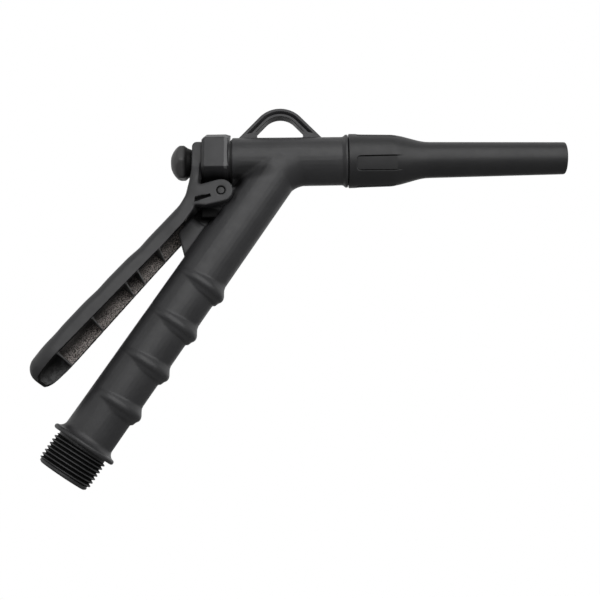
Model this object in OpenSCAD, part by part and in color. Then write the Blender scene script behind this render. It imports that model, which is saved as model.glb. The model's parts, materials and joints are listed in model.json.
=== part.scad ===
// Hand-operated fuel nozzle: a moulded body with a threaded inlet grip, a screw-on spout,
// and a squeeze lever whose fork pulls a spring-loaded valve stem off its seat.
// Working frame: X along the barrel towards the spout, Z up, origin where the barrel and
// grip axes cross. Every node is then moved so that the centre of the inlet's end face is
// the part's origin.

/* [Body tubes] */
// Barrel diameter at its rear end
barrel_d_rear = 29.8; // [27:0.1:32]
// Barrel diameter just behind the end ring
barrel_d_front = 29.2; // [27:0.1:31]
// Barrel length behind the bend centre
barrel_rear = 29.5; // [26:0.5:34]
// Barrel length ahead of the bend centre
barrel_front = 40.4; // [38:0.1:46]
// Diameter of the end ring that meets the spout collar
ring_d = 32; // [30:0.1:34]
// Length of the end ring
ring_len = 1.6; // [1:0.1:3]
// Length of the chamfer behind the end ring
ring_chamfer = 1.5; // [0.5:0.1:3]
// Grip tube diameter at the bend
grip_d = 29.9; // [28:0.1:33]
// Grip tube diameter at the flange
grip_d_end = 30.8; // [29:0.1:33]
// Shift of the grip axis along the barrel
grip_shift = 0.5; // [-2:0.1:2]
// Angle of the grip axis below the barrel axis, rearwards
grip_angle = 56.2; // [50:0.5:62]
// Fillet radius inside the bend
bend_fillet = 13; // [6:1:20]

/* [Inlet] */
// Distance from the bend centre to the inlet's end face
inlet_len = 225.4; // [215:1:240]
// Flange diameter
flange_d = 39.8; // [36:0.1:44]
// Flange thickness
flange_t = 2.8; // [2:0.1:5]
// Distance from the flange to the inlet's end face
inlet_stub = 19.9; // [16:0.1:26]
// Major diameter of the inlet thread
thread_d = 33.25; // [30:0.05:36]
// Pitch of the inlet thread
thread_pitch = 2.309; // [1.5:0.001:3]
// Depth of the inlet thread
thread_depth = 1.48; // [0.8:0.01:1.6]
// Width of the thread's flat crest
thread_crest = 0.4; // [0.2:0.05:0.8]
// Plain relief between the flange and the thread
thread_relief = 1.6; // [1:0.1:3]
// Plain lead-in at the thread's open end
thread_lead = 2.7; // [1:0.1:5]
// Inlet bore diameter
inlet_bore_d = 21; // [18:0.5:22]

/* [Finger ribs] */
// Number of finger ribs on the front of the grip
rib_count = 4; // [2:1:5]
// Distance from the bend centre to the first rib's crest
rib_first = 90.8; // [80:0.5:96]
// Distance between ribs
rib_pitch = 28.1; // [24:0.1:30]
// Height of a rib at the front of the grip
rib_h = 3.1; // [1.5:0.1:4]
// How far a rib's ring is set off the grip axis
rib_offset = 1.75; // [1:0.05:2.4]

/* [Hanging loop] */
// Width of the loop across its two feet
loop_w = 50; // [44:1:56]
// Height of the loop's crown above the barrel axis
loop_top = 33.6; // [30:0.1:38]
// Outer radius of the loop's crown
loop_r = 17; // [12:0.5:20]
// Width of the loop's strap
loop_strap = 4.8; // [4:0.1:7]
// Thickness of the loop
loop_t = 7; // [5:0.1:9]
// Depth of the groove in each face of the strap
loop_groove = 1.2; // [0.4:0.1:2]
// Shift of the loop along the barrel
loop_x = -0.6; // [-4:0.1:4]

/* [Lever pivot] */
// Distance of the pivot behind the bend centre
pivot_back = 35.2; // [34.5:0.1:36]
// Distance of the pivot below the barrel axis
pivot_drop = 23; // [22.8:0.1:23.6]
// Pivot pin diameter
pin_d = 4.8; // [4:0.1:5.5]
// Radial running clearance of the lever on its pin
pin_clear = 0.06; // [0.03:0.01:0.1]
// Width of the body's lug between the lever's ears
lug_w = 19.4; // [16:0.1:20]
// Depth of the lug's underside below the pivot
lug_drop = 14; // [12:0.5:16]
// Thickness of the web under the lug
web_t = 6; // [4:0.1:8]

/* [Lever] */
// Angle of the lever below the barrel axis, rearwards
lever_angle = 48.4; // [47:0.1:49]
// Length of the lever from its pivot to its lower end
lever_len = 153.7; // [140:0.5:158]
// Width of the lever near its head
lever_w_top = 30; // [29:0.5:33]
// Width of the lever at its lower end
lever_w_end = 41.6; // [38:0.5:44]
// Height of the channel's open edges behind the pivot line
lever_edge = 3.2; // [2.8:0.1:3.8]
// Height of the lever's back behind the pivot line
lever_back = 13.8; // [13.4:0.1:14.6]
// Wall thickness of the lever's channel
lever_wall = 2.5; // [2:0.1:3]
// Radius of the lever's ears about the pin
ear_r = 7; // [6:0.1:7.2]
// Thickness of each ear
ear_t = 5.5; // [4:0.1:7]
// Side gap between the ears and the lug
ear_gap = 0.3; // [0.2:0.05:0.5]
// Gap between the ears' rims and the pockets for them in the grip's flanks
ear_rim_gap = 0.5; // [0.3:0.1:1]
// Thickness of the fork at the top of the lever
fork_t = 6; // [5:0.1:7]
// Height of the fork above the barrel axis
fork_top = 9.6; // [8:0.1:11]
// Width of the fork
fork_w = 22; // [20:0.5:24]

/* [Bonnet] */
// Bonnet hexagon across flats
bonnet_af = 32; // [30:0.5:34]
// Length of the bonnet's hexagon
bonnet_hex_len = 16.4; // [14:0.1:17]
// Length of the bonnet's threaded spigot
bonnet_spigot_len = 12.5; // [10:0.5:13.5]
// Diameter of the bonnet's threaded spigot
bonnet_spigot_d = 23.4; // [22:0.1:24]
// Turn of the bonnet's hexagon about its axis
bonnet_turn = 57; // [0:1:60]
// Thickness of the gasket under the bonnet
bonnet_gasket_t = 0.7; // [0.5:0.1:1.5]

/* [Valve] */
// Stem diameter
stem_d = 10; // [8:0.1:11]
// Radial running clearance of the stem in the bonnet
stem_clear = 0.06; // [0.03:0.01:0.1]
// Diameter of the stem's threaded front end
stem_tail_d = 6; // [5:0.1:6]
// Valve chamber diameter
chamber_d = 22.4; // [20:0.1:23]
// Distance from the bend centre to the valve seat
seat_x = 19; // [16:0.5:21]
// Bore of the seat ring
seat_bore_d = 14; // [13.5:0.1:15]
// Diameter of the valve's rubber seal
seal_d = 18; // [17:0.1:19]
// Thickness of the valve's rubber seal
seal_t = 3; // [2:0.1:4]
// Full stroke of the stem
stroke = 3.9; // [2:0.1:4]
// Wire diameter of the valve spring
wire_d = 1.6; // [1:0.1:2]
// Mean coil diameter of the valve spring
coil_d = 15.2; // [14.6:0.1:16]
// Turns of the valve spring
coil_turns = 7; // [5:1:9]
// Cap nut across flats
cap_af = 19; // [17:0.5:20]
// Length of the cap nut
cap_len = 12.8; // [11:0.1:14]
// Turn of the cap nut about its axis
cap_turn = 40; // [0:1:60]

/* [Spout] */
// Collar diameter at its rear end
collar_d = 32.2; // [31:0.1:34]
// Collar diameter where its taper begins
collar_d_end = 30.9; // [30:0.1:32]
// Length of the collar to where its taper begins
collar_len = 26.5; // [24:0.5:30]
// Length of the taper from collar to tube
taper_len = 20; // [14:0.5:26]
// Tube diameter at the foot of the taper
tube_d = 21.8; // [20:0.1:23]
// Tube diameter at the tip
tip_d = 19.3; // [18.5:0.1:21]
// Distance from the bend centre to the spout's tip
spout_end = 171.7; // [150:1:185]
// Spout bore diameter
spout_bore_d = 15.2; // [12:0.1:15.4]
// Diameter of the body's threaded nose inside the collar
nose_d = 25; // [24:0.1:26]
// Length of that nose
nose_len = 15.6; // [12:0.1:17]
// Radial clearance of screwed pieces
screw_clear = 0.1; // [0.05:0.01:0.15]
// Width of the seam between body and collar
seam = 0.4; // [0.2:0.1:1]
// Number of grip panels round the collar
panel_count = 4; // [2:1:6]
// Half angle of one grip panel
panel_half = 15.2; // [8:0.1:20]
// Depth of the groove that outlines a panel
panel_groove = 0.6; // [0.3:0.1:1]
// Turn of the panels about the spout's axis
panel_turn = 23; // [0:1:90]

/* [Inlet strainer] */
// Length of the strainer
strainer_len = 34; // [20:1:40]
// Depth of the strainer's rim below the inlet's end face
strainer_inset = 1; // [0.5:0.1:3]

/* [Hidden] */
$fn = 96;
e = 0.01;
black = "#2b2b2d";
rubber = "#161617";
steel = "#b9bcc0";
brass = "#b5a04e";

// Barrel stations, as X from the bend centre
barrel_face = -barrel_rear;
hex_front = barrel_face - bonnet_gasket_t;
hex_rear = hex_front - bonnet_hex_len;
spigot_end = barrel_face + bonnet_spigot_len;
nose_end = barrel_front + nose_len;
ring_start = barrel_front - ring_len - ring_chamfer;
// Fork and cap nut, behind the bonnet
fork_gap = 0.6;
fork_front = hex_rear - fork_gap;
fork_rear = fork_front - fork_t;
cap_gap = 0.5;
cap_face = fork_rear - cap_gap;
cap_end = cap_face - cap_len;
// Packing inside the bonnet
ring_section = 2.4;
packing_d = stem_d + 2 * ring_section + 0.2;
bush_len = 2.5;
spacer_len = 1.5;
packing_len = bush_len + spacer_len + 2 * (ring_section + 0.1);
packing_back = spigot_end - packing_len;
// Valve head on the stem's tail
washer_t = 1.2;
poppet_t = 3.4;
poppet_hub = 3;
seal_face = seat_x;
poppet_face = seal_face - seal_t;
poppet_back = poppet_face - poppet_t;
shoulder_x = poppet_back - poppet_hub;
nut_t = 5;
// Valve spring between its washer and the poppet
spring_rear = spigot_end + washer_t;
spring_len = poppet_back - spring_rear;
// Seat ring, pressed in from the front against the body's lip
lip_t = 1.6;
seat_ring_d = 19;
seat_ring_len = 6;
seat_nose_d = seat_bore_d + 3;
lip_face = seat_x + lip_t;
seat_groove = 1.6;
seat_ring_section = 1.5;
lip_gap = 0.3;
// Spout
collar_start = barrel_front + seam;
taper_start = collar_start + collar_len;
taper_end = taper_start + taper_len;
spout_gasket_t = 1.5;
front_bore_d = seat_ring_d;
// Lever
fork_slot_w = stem_d + 1;
ear_in = lug_w / 2 + ear_gap;
ear_out = ear_in + ear_t;
pin_len = 2 * ear_out - 1.2;
lever_corner = 5.5;
lever_tip_r = 6.5;
channel_start = 20;
channel_knee = 60;
channel_bend = 136;
lever_rib_t = 1.7;
lever_rib_first = 50;
lever_rib_pitch = 27.75;

// Frames
module at_bend() translate([inlet_len * cos(grip_angle) - grip_shift, 0, inlet_len * sin(grip_angle)]) children();
// Children's +Z runs along the barrel towards the spout
module on_barrel(x = 0) translate([x, 0, 0]) rotate([0, 90, 0]) children();
// Children's +Z runs down the grip towards the inlet, their -X faces the front of the grip
module on_grip(s = 0) translate([grip_shift, 0, 0]) rotate([0, -90 - grip_angle, 0]) translate([0, 0, s]) children();
// Flat outlines in the X-Z plane, thickened evenly about the middle plane
module across(w) rotate([90, 0, 0]) translate([0, 0, -w / 2]) linear_extrude(w) children();
module at_pivot() translate([-pivot_back, 0, -pivot_drop]) children();
// Outlines in the lever's own plane: x down the lever, y out of its back
module lever_outline() translate([-pivot_back, -pivot_drop]) rotate(180 + lever_angle)
    mirror([0, 1]) children();
// Solids in the lever's own frame: X down the lever, Z out of its back
module on_lever() at_pivot() rotate([0, 180 - lever_angle, 0]) rotate([180, 0, 0]) children();

module tube(d_out, d_in, len) difference() {
    cylinder(d = d_out, h = len);
    translate([0, 0, -1]) cylinder(d = d_in, h = len + 2);
}

module o_ring(d_in, section) rotate_extrude() translate([d_in / 2 + section / 2, 0])
    circle(d = section, $fn = 32);

// Hexagonal prism whose corners are turned down to bevel_d at each end
module bevelled_hex(af, len, bevel_rear, bevel_front, turn) {
    corner_r = af / cos(30) / 2;
    past = 0.5;
    intersection() {
        rotate(turn) cylinder(r = corner_r, h = len, $fn = 6);
        rotate_extrude() polygon([
            [0, 0], [corner_r - bevel_rear[0], 0],
            [corner_r + past, bevel_rear[1] * (1 + past / bevel_rear[0])],
            [corner_r + past, len - bevel_front[1] * (1 + past / bevel_front[0])],
            [corner_r - bevel_front[0], len], [0, len]]);
    }
}

// Body moulding
module barrel_shape() on_barrel() rotate_extrude() polygon([
    [0, barrel_face], [barrel_d_rear / 2 - 0.5, barrel_face], [barrel_d_rear / 2, barrel_face + 0.5],
    [barrel_d_front / 2, ring_start], [ring_d / 2, ring_start + ring_chamfer],
    [ring_d / 2, barrel_front - 0.4], [ring_d / 2 - 0.4, barrel_front],
    [nose_d / 2, barrel_front], [nose_d / 2, nose_end - 1], [nose_d / 2 - 1, nose_end], [0, nose_end]]);

bend_r = bend_fillet + barrel_d_front / 2;
module bend_shape() translate([grip_shift + bend_r * tan(grip_angle / 2), 0, -bend_r])
    rotate([90, 0, 0]) rotate([0, 0, 90]) rotate_extrude(angle = grip_angle)
        translate([bend_r, 0]) circle(d = barrel_d_front);

thread_start = inlet_len - inlet_stub + thread_relief;
thread_end = inlet_len - thread_lead;
thread_root_r = thread_d / 2 - thread_depth;
thread_turns = floor((thread_end - thread_start) / thread_pitch);
flange_face = inlet_len - inlet_stub;
flange_back = flange_face - flange_t;

module grip_shape() on_grip() rotate_extrude() polygon(concat(
    [[0, 0], [grip_d / 2, 0], [grip_d_end / 2, flange_back - 3.2], [grip_d_end / 2 + 0.6, flange_back - 1.8],
     [grip_d_end / 2 + 2, flange_back - 0.3], [flange_d / 2 - 0.8, flange_back],
     [flange_d / 2, flange_back + 0.8], [flange_d / 2, flange_face - 0.8],
     [flange_d / 2 - 0.8, flange_face], [thread_root_r + 1, flange_face],
     [thread_root_r, flange_face + 1]],
    [for (i = [0:thread_turns - 1]) each thread_ridge(thread_start + i * thread_pitch)],
    [[thread_root_r, inlet_len - 1], [thread_root_r - 0.8, inlet_len], [0, inlet_len]]));

// One ridge of the inlet thread, as outline points from s on
function thread_ridge(s) = let (flank = (thread_pitch - thread_crest) / 2 - 0.1) [
    [thread_root_r, s], [thread_d / 2, s + flank], [thread_d / 2, s + flank + thread_crest],
    [thread_root_r, s + 2 * flank + thread_crest]];

// A finger rib: a ring set off towards the front, so it fades out round the sides
module finger_rib(s) on_grip(s) translate([-rib_offset, 0, 0]) rotate_extrude() {
    reach = grip_d_end / 2 + rib_h - rib_offset;
    polygon([[0, -6.8], [reach - rib_h, -6.8], [reach - rib_h + 0.3, -5.4], [reach - 1.6, -3.4],
        [reach - 0.5, -1.8], [reach - 0.1, -0.6], [reach, 0.4], [reach - 0.3, 1.6],
        [reach - 1.1, 2.6], [reach - 1.9, 5.2], [reach - rib_h - 0.2, 5.8], [0, 5.8]]);
}

// Arch outline: a round crown of radius r with straight legs sloping down from it
loop_lean = 47;
loop_centre = loop_top - loop_r;
loop_base = barrel_d_rear / 2 - 1.6;
module arch(r) {
    side = r * sin(loop_lean);
    shoulder = loop_centre + r * cos(loop_lean);
    foot = side + (shoulder - loop_base) / tan(loop_lean);
    intersection() {
        translate([0, loop_centre]) circle(r);
        translate([-r, loop_base]) square([2 * r, 2 * r]);
    }
    polygon([[-foot, loop_base], [foot, loop_base], [side, shoulder], [-side, shoulder]]);
}

module nozzle_body() at_bend() color(black) difference() {
    union() {
        barrel_shape();
        bend_shape();
        grip_shape();
        for (i = [0:rib_count - 1]) finger_rib(rib_first + i * rib_pitch);
        lug();
        web();
        loop();
    }
    // Inlet bore up the grip
    on_grip(0) cylinder(d = inlet_bore_d, h = inlet_len + 1);
    // Valve chamber, bonnet thread and front bore
    on_barrel(barrel_face - 1) cylinder(d = bonnet_spigot_d + 2 * screw_clear, h = bonnet_spigot_len + 1);
    on_barrel(spigot_end - e) cylinder(d = chamber_d, h = seat_x - spigot_end + e);
    on_barrel(seat_x - e) cylinder(d = seat_nose_d + 2 * lip_gap, h = lip_t + 2 * e);
    on_barrel(lip_face) cylinder(d = seat_ring_d, h = nose_end - lip_face + 1);
    // Bore for the pivot pin
    at_pivot() rotate([90, 0, 0]) cylinder(d = pin_d, h = lug_w + 2, center = true);
    // Pockets in the grip's flanks for the lever's ears
    for (side = [-1, 1]) at_pivot() translate([0, side * (lug_w / 2 + ear_t), 0])
        rotate([90, 0, 0]) cylinder(r = ear_r + ear_rim_gap, h = 2 * ear_t, center = true);
}

lug_top_r = pivot_drop - bonnet_af / 2 / cos(30) - 0.3;
lug_back = 12.2;
module lug() across(lug_w) {
    translate([-pivot_back, -pivot_drop]) circle(lug_top_r);
    polygon([[-pivot_back, -pivot_drop + lug_top_r], [-pivot_back + 12, -pivot_drop + lug_top_r],
        [-pivot_back - 1, -pivot_drop - lug_drop], [-pivot_back - lug_back, -pivot_drop - lug_drop],
        [-pivot_back - lug_back, -pivot_drop - 4], [-pivot_back - lug_top_r, -pivot_drop]]);
}

web_back = 5.2;
module web() across(web_t) lever_outline() polygon([
    [10, -12], [12, web_back], [34, web_back], [42.5, -8], [46, -13]]);

module loop() {
    difference() {
        across(loop_t) translate([loop_x, 0]) difference() {
            arch(loop_r);
            loop_opening(loop_r - loop_strap);
        }
        for (side = [-1, 1]) translate([0, side * (loop_t - loop_groove + e) / 2, 0])
            across(loop_groove + e) translate([loop_x, 0]) difference() {
                arch(loop_r - loop_rim);
                loop_opening(loop_r - loop_strap + loop_rim);
                translate([-40, -1]) square([80, barrel_d_rear / 2 + 2.4]);
            }
    }
}

// Opening of the loop: the inner arch with its lower corners rounded
loop_rim = 1.2;
loop_floor = barrel_d_rear / 2 - 0.3;
loop_corner = 2.5;
module loop_opening(r) {
    side = r * sin(loop_lean);
    shoulder = loop_centre + r * cos(loop_lean);
    corner_z = loop_floor + loop_corner;
    corner_x = side + (shoulder - corner_z) / tan(loop_lean) - loop_corner / sin(loop_lean);
    lift_x = corner_x + loop_corner * sin(loop_lean);
    lift_z = corner_z + loop_corner * cos(loop_lean);
    translate([0, loop_centre]) circle(r);
    for (m = [-1, 1]) translate([m * corner_x, corner_z]) circle(loop_corner);
    polygon([[-corner_x, loop_floor], [corner_x, loop_floor], [lift_x, lift_z],
        [side, shoulder], [-side, shoulder], [-lift_x, lift_z]]);
}

// Screw-on spout: collar with grip panels, then a taper into a plain tube
gasket_end = nose_end + spout_gasket_t;
function collar_r(x) = collar_d / 2 + (collar_d_end - collar_d) / 2 * (x - collar_start) / collar_len;
// Share of the drop from collar to tube at each tenth of the taper
function taper_r(t) = collar_d_end / 2 + (tube_d - collar_d_end) / 2 * (1 - cos(180 * t)) / 2;
taper_points = [for (t = [0:0.125:1]) [taper_r(t), taper_start + taper_len * t]];

module spout() at_bend() color(black) difference() {
    on_barrel() rotate_extrude() polygon(concat(
        [[nose_d / 2 + screw_clear, collar_start], [collar_d / 2 - 0.5, collar_start],
         [collar_d / 2, collar_start + 0.5]],
        taper_points,
        [[tip_d / 2, spout_end - 1.5], [tip_d / 2 - 0.45, spout_end - 0.45], [tip_d / 2 - 1.5, spout_end],
         [spout_bore_d / 2, spout_end], [spout_bore_d / 2, gasket_end + 14],
         [front_bore_d / 2, gasket_end], [nose_d / 2 + screw_clear, gasket_end]]));
    for (i = [0:panel_count - 1]) panel_outline(panel_turn + 360 / panel_count * i);
}

// Groove round one grip panel: two straight sides and a rear end, running out on the taper
panel_start = collar_start + 4.7;
panel_end = taper_start + 6;
panel_line = 0.9;
panel_floor = collar_d_end / 2 - panel_groove / 2;
module panel_outline(turn) on_barrel(panel_start) rotate(turn) {
    for (side = [-1, 1]) rotate(side * panel_half)
        translate([panel_floor, -panel_line / 2, 0]) cube([5, panel_line, panel_end - panel_start]);
    rotate(-panel_half) rotate_extrude(angle = 2 * panel_half)
        translate([panel_floor, 0]) square([5, panel_line]);
}

module spout_gasket() at_bend() color(rubber) on_barrel(nose_end)
    tube(nose_d - 0.4, front_bore_d, spout_gasket_t);

// Valve seat, pressed in from the front
module seat_ring() at_bend() color(brass) difference() {
    union() {
        on_barrel(lip_face) cylinder(d = seat_ring_d, h = seat_ring_len);
        on_barrel(seat_x) cylinder(d = seat_nose_d, h = lip_t + e);
    }
    on_barrel(seat_x - 1) cylinder(d = seat_bore_d, h = lip_t + seat_ring_len + 2);
    on_barrel(lip_face + (seat_ring_len - seat_groove) / 2)
        tube(seat_ring_d + 2, seat_ring_d - 2 * seat_ring_section, seat_groove);
}

module seat_o_ring() at_bend() color(rubber) on_barrel(lip_face + seat_ring_len / 2)
    o_ring(seat_ring_d - 2 * seat_ring_section, seat_ring_section);

// Bonnet closing the rear of the valve chamber, bored for the stem and its packing
module bonnet() at_bend() color(black) difference() {
    union() {
        on_barrel(hex_rear) bevelled_hex(bonnet_af, bonnet_hex_len, [3.5, 2.9], [1, 1], bonnet_turn);
        on_barrel(hex_front - e) cylinder(d = bonnet_spigot_d, h = spigot_end - hex_front + e);
    }
    on_barrel(hex_rear - 1) cylinder(d = stem_d + 2 * stem_clear, h = bonnet_hex_len + 40);
    on_barrel(packing_back) cylinder(d = packing_d, h = packing_len + 1);
}

module bonnet_gasket() at_bend() color(rubber) on_barrel(hex_front)
    tube(barrel_d_rear - 2.2, bonnet_spigot_d + 4 * screw_clear, bonnet_gasket_t);

// Packing, from the front: pressed bush, O-ring, spacer, O-ring
module gland_bush() at_bend() color(brass) on_barrel(spigot_end - bush_len)
    tube(packing_d, stem_d + 2 * stem_clear, bush_len);

front_ring_x = spigot_end - bush_len - 0.05 - ring_section / 2;
spacer_front = front_ring_x - ring_section / 2 - 0.05;
rear_ring_x = packing_back + 0.05 + ring_section / 2;

module stem_o_ring_front() at_bend() color(rubber) on_barrel(front_ring_x)
    o_ring(stem_d + 2 * ring_clear, ring_section);

module o_ring_spacer() at_bend() color(brass) on_barrel(spacer_front - spacer_len)
    tube(packing_d - 0.1, stem_d + 0.4, spacer_len);

module stem_o_ring_rear() at_bend() color(rubber) on_barrel(rear_ring_x)
    o_ring(stem_d + 2 * ring_clear, ring_section);

ring_clear = 0.05;

module spring_washer() at_bend() color(steel) on_barrel(spigot_end)
    tube(coil_d + wire_d + 2, stem_d + 0.8, washer_t);

// Coil of round wire with a closed turn at each end
coil_steps = 22;
wire_sides = 8;
coil_rings = coil_turns * coil_steps;
coil_rise = spring_len - wire_d;
coil_closed = wire_d * 1.02;
function coil_height(t) = t < 1 ? coil_closed * t
    : t > coil_turns - 1 ? coil_rise - coil_closed * (coil_turns - t)
    : coil_closed + (coil_rise - 2 * coil_closed) * (t - 1) / (coil_turns - 2);
function coil_reach(k) = coil_d / 2 + wire_d / 2 * cos(360 * k / wire_sides);
function coil_point(i, k) = [
    coil_reach(k) * cos(360 * i / coil_steps),
    coil_reach(k) * sin(360 * i / coil_steps),
    wire_d / 2 + coil_height(i / coil_steps) + wire_d / 2 * sin(360 * k / wire_sides)];
function coil_face(i, k) = [
    i * wire_sides + k,
    i * wire_sides + (k + 1) % wire_sides,
    (i + 1) * wire_sides + (k + 1) % wire_sides,
    (i + 1) * wire_sides + k];

module valve_spring() at_bend() color(steel) on_barrel(spring_rear) polyhedron(
    [for (i = [0:coil_rings]) for (k = [0:wire_sides - 1]) coil_point(i, k)],
    concat(
        [[for (k = [wire_sides - 1:-1:0]) k]],
        [for (i = [0:coil_rings - 1]) for (k = [0:wire_sides - 1]) coil_face(i, k)],
        [[for (k = [0:wire_sides - 1]) coil_rings * wire_sides + k]]));

// Stem: plain rod through the bonnet, with a thinner front end for the valve head
stem_end = cap_face - 8.5;
tail_end = seal_face + washer_t + nut_t + 1.3;
head_fit = 0.05;
module stem() at_bend() color(steel) on_barrel() rotate_extrude() polygon([
    [0, stem_end], [stem_d / 2 - 0.8, stem_end], [stem_d / 2, stem_end + 0.8],
    [stem_d / 2, shoulder_x], [stem_tail_d / 2, shoulder_x],
    [stem_tail_d / 2, tail_end - 0.6], [stem_tail_d / 2 - 0.6, tail_end], [0, tail_end]]);

module poppet() at_bend() color(brass) difference() {
    union() {
        on_barrel(shoulder_x) cylinder(d = stem_d + 1, h = poppet_hub + e);
        on_barrel(poppet_back) cylinder(d = seal_d - 0.4, h = poppet_t);
    }
    on_barrel(shoulder_x - 1) cylinder(d = stem_tail_d + 2 * head_fit, h = poppet_hub + poppet_t + 2);
}

module poppet_seal() at_bend() color(rubber) on_barrel(poppet_face)
    tube(seal_d, stem_tail_d + 2 * head_fit, seal_t);

module poppet_washer() at_bend() color(steel) on_barrel(seal_face)
    tube(11.6, stem_tail_d + 2 * head_fit, washer_t);

module poppet_nut() at_bend() color(steel) difference() {
    on_barrel(seal_face + washer_t) bevelled_hex(10, nut_t, [0.3, 0.3], [0.5, 0.3], 0);
    on_barrel(seal_face) cylinder(d = stem_tail_d + 2 * head_fit, h = nut_t + 4);
}

// Domed nut on the stem's rear end
dome_r = 13;
dome_flat = 3.7;
module cap_nut() at_bend() color(black) difference() {
    intersection() {
        on_barrel(cap_end) bevelled_hex(cap_af, cap_len, [0.01, 0.01], [3.7, 2.9], cap_turn);
        translate([cap_end + sqrt(dome_r * dome_r - dome_flat * dome_flat), 0, 0]) sphere(dome_r);
    }
    on_barrel(stem_end - 1) cylinder(d = stem_d + 2 * screw_clear, h = cap_face - stem_end + 2);
}

// Lever: a fork behind the bonnet, two ears on the pin, and a channel down to the hand
module lever() at_bend() color(black) difference() {
    union() {
        fork();
        head();
        channel();
        ears();
    }
    // Slot for the stem, open at the top
    translate([fork_rear - 5, 0, 0]) rotate([0, 90, 0]) cylinder(d = fork_slot_w, h = fork_t + 9);
    translate([fork_rear - 5, -fork_slot_w / 2, 0]) cube([fork_t + 9, fork_slot_w, 30]);
    // Bore for the pivot pin
    at_pivot() rotate([90, 0, 0]) cylinder(d = pin_d + 2 * pin_clear, h = 2 * ear_out + 2, center = true);
}

fork_corner = 3;
module fork() across(fork_w) {
    translate([fork_rear, -4]) square([fork_t, fork_top + 4 - fork_corner]);
    translate([fork_rear + fork_corner, fork_top - fork_corner - e])
        square([fork_t - fork_corner, fork_corner + e]);
    translate([fork_rear + fork_corner, fork_top - fork_corner]) circle(fork_corner);
}

// Two ears, each with a shallow tapering slot in its outer face
module ears() difference() {
    for (side = [-1, 1]) translate([0, side * (ear_in + ear_t / 2), 0])
        across(ear_t) translate([-pivot_back, -pivot_drop]) {
            circle(ear_r);
            polygon([[-16, 3.2], [-13.5, 4.2], [-1.84, 6.75], [1.69, -6.79], [-9, -9.2], [-16, -8.6]]);
        }
    for (side = [-1, 1]) translate([0, side * (ear_out - 0.6), 0]) across(1.3)
        translate([-pivot_back, -pivot_drop]) polygon([[-16, -5.3], [-6.7, -2.2], [-6.9, -2.9], [-16, -7]]);
}

function lever_half(u) = lever_w_top / 2 + (lever_w_end - lever_w_top) / 2 * max(u - 45, 0) / 90;

// Posts with ball tops that the channel's skin is drawn over, grown by grow
module ball(r) sphere(r, $fn = 32);
module posts(u, r, grow) for (side = [-1, 1]) translate([u, side * (lever_half(u) - r), -r]) {
    translate([0, 0, lever_back]) ball(r + grow);
    cylinder(r = r + grow, h = 1, $fn = 32);
}

module channel_skin(grow) on_lever() {
    hull() {
        posts(channel_start, lever_corner, grow);
        posts(channel_knee, lever_corner, grow);
    }
    hull() {
        posts(channel_knee, lever_corner, grow);
        posts(channel_bend, lever_tip_r, grow);
        for (side = [-1, 1]) {
            translate([lever_len - lever_tip_r, side * 6, 6]) ball(lever_tip_r + grow);
            translate([lever_len - lever_tip_r - 2.7, side * 12.5, 6]) ball(lever_tip_r + grow);
        }
    }
}

module channel() {
    intersection() {
        difference() {
            channel_skin(0);
            channel_skin(-lever_wall);
        }
        across(60) lever_outline() polygon([
            [channel_start - 1, 30], [channel_start - 1, 4.6], [29.2, lever_edge],
            [lever_len + 5, lever_edge], [lever_len + 5, 30]]);
    }
    intersection() {
        channel_skin(-1);
        on_lever() for (u = concat([lever_rib_first + 18],
            [for (k = [0:3]) lever_rib_first + k * lever_rib_pitch]))
            translate([u - lever_rib_t / 2, -30, lever_edge]) cube([lever_rib_t, 60, 30]);
    }
}

head_span = lever_w_end;

// Head between the fork and the channel: its side outline, cut to its outline seen from behind
module head() intersection() {
    difference() {
        across(2 * ear_out) polygon([
            [fork_rear, -2], [fork_rear - 0.2, -8], [fork_rear - 1.6, -18], [fork_rear - 3.1, -25],
            [fork_rear - 6.6, -31.6], [fork_rear - 8.8, -36.6], [fork_front - 9.6, -41.2],
            [fork_front - 5.8, -36.5], [fork_front - 3, -31.5], [fork_front - 2.8, -21],
            [fork_front - 1.2, -19], [fork_front - 1.2, -3], [fork_front, -2]]);
        across(lever_w_top - 2 * lever_wall) lever_outline() polygon([
            [13, 0], [13, 8], [channel_start, lever_back - lever_wall - 0.6],
            [32, lever_back - lever_wall - 0.1], [32, 0]]);
    }
    translate([fork_rear - head_span, 0, 0]) rotate([90, 0, 90]) linear_extrude(1.5 * head_span) polygon([
        [-fork_w / 2, 0], [-fork_w / 2, -6], [-fork_w / 2 - 2, -12], [-lever_w_top / 2, -19],
        [-lever_w_top / 2, -1.5 * head_span], [lever_w_top / 2, -1.5 * head_span], [lever_w_top / 2, -19],
        [fork_w / 2 + 2, -12], [fork_w / 2, -6], [fork_w / 2, 0]]);
}

// Pin pressed into the lug
module pivot_pin() at_bend() color(steel) at_pivot() rotate([90, 0, 0])
    translate([0, 0, -pin_len / 2]) rotate_extrude() polygon([
        [0, 0], [pin_d / 2 - 0.5, 0], [pin_d / 2, 0.5], [pin_d / 2, pin_len - 0.5],
        [pin_d / 2 - 0.5, pin_len], [0, pin_len]]);

// Inlet strainer: rim pressed into the inlet bore, bars, closed end, and a mesh inside the bars
strainer_rim = 2.5;
strainer_r = 8.2;
bar_t = 1.3;
mesh_t = 0.5;
strainer_top = inlet_len - strainer_inset;
module inlet_strainer() at_bend() color(black) {
    on_grip(strainer_top - strainer_rim) tube(inlet_bore_d, 2 * (strainer_r - bar_t), strainer_rim);
    on_grip(strainer_top - strainer_len) cylinder(r = strainer_r, h = 1.5);
    on_grip(strainer_top - strainer_len) intersection() {
        tube(2 * strainer_r, 2 * (strainer_r - bar_t), strainer_len - 1);
        union() {
            for (a = [0, 60, 120]) rotate(a) translate([-20, -1, 0]) cube([40, 2, strainer_len]);
            translate([0, 0, strainer_len / 2 - 1]) cylinder(r = 20, h = 2);
        }
    }
}

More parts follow.
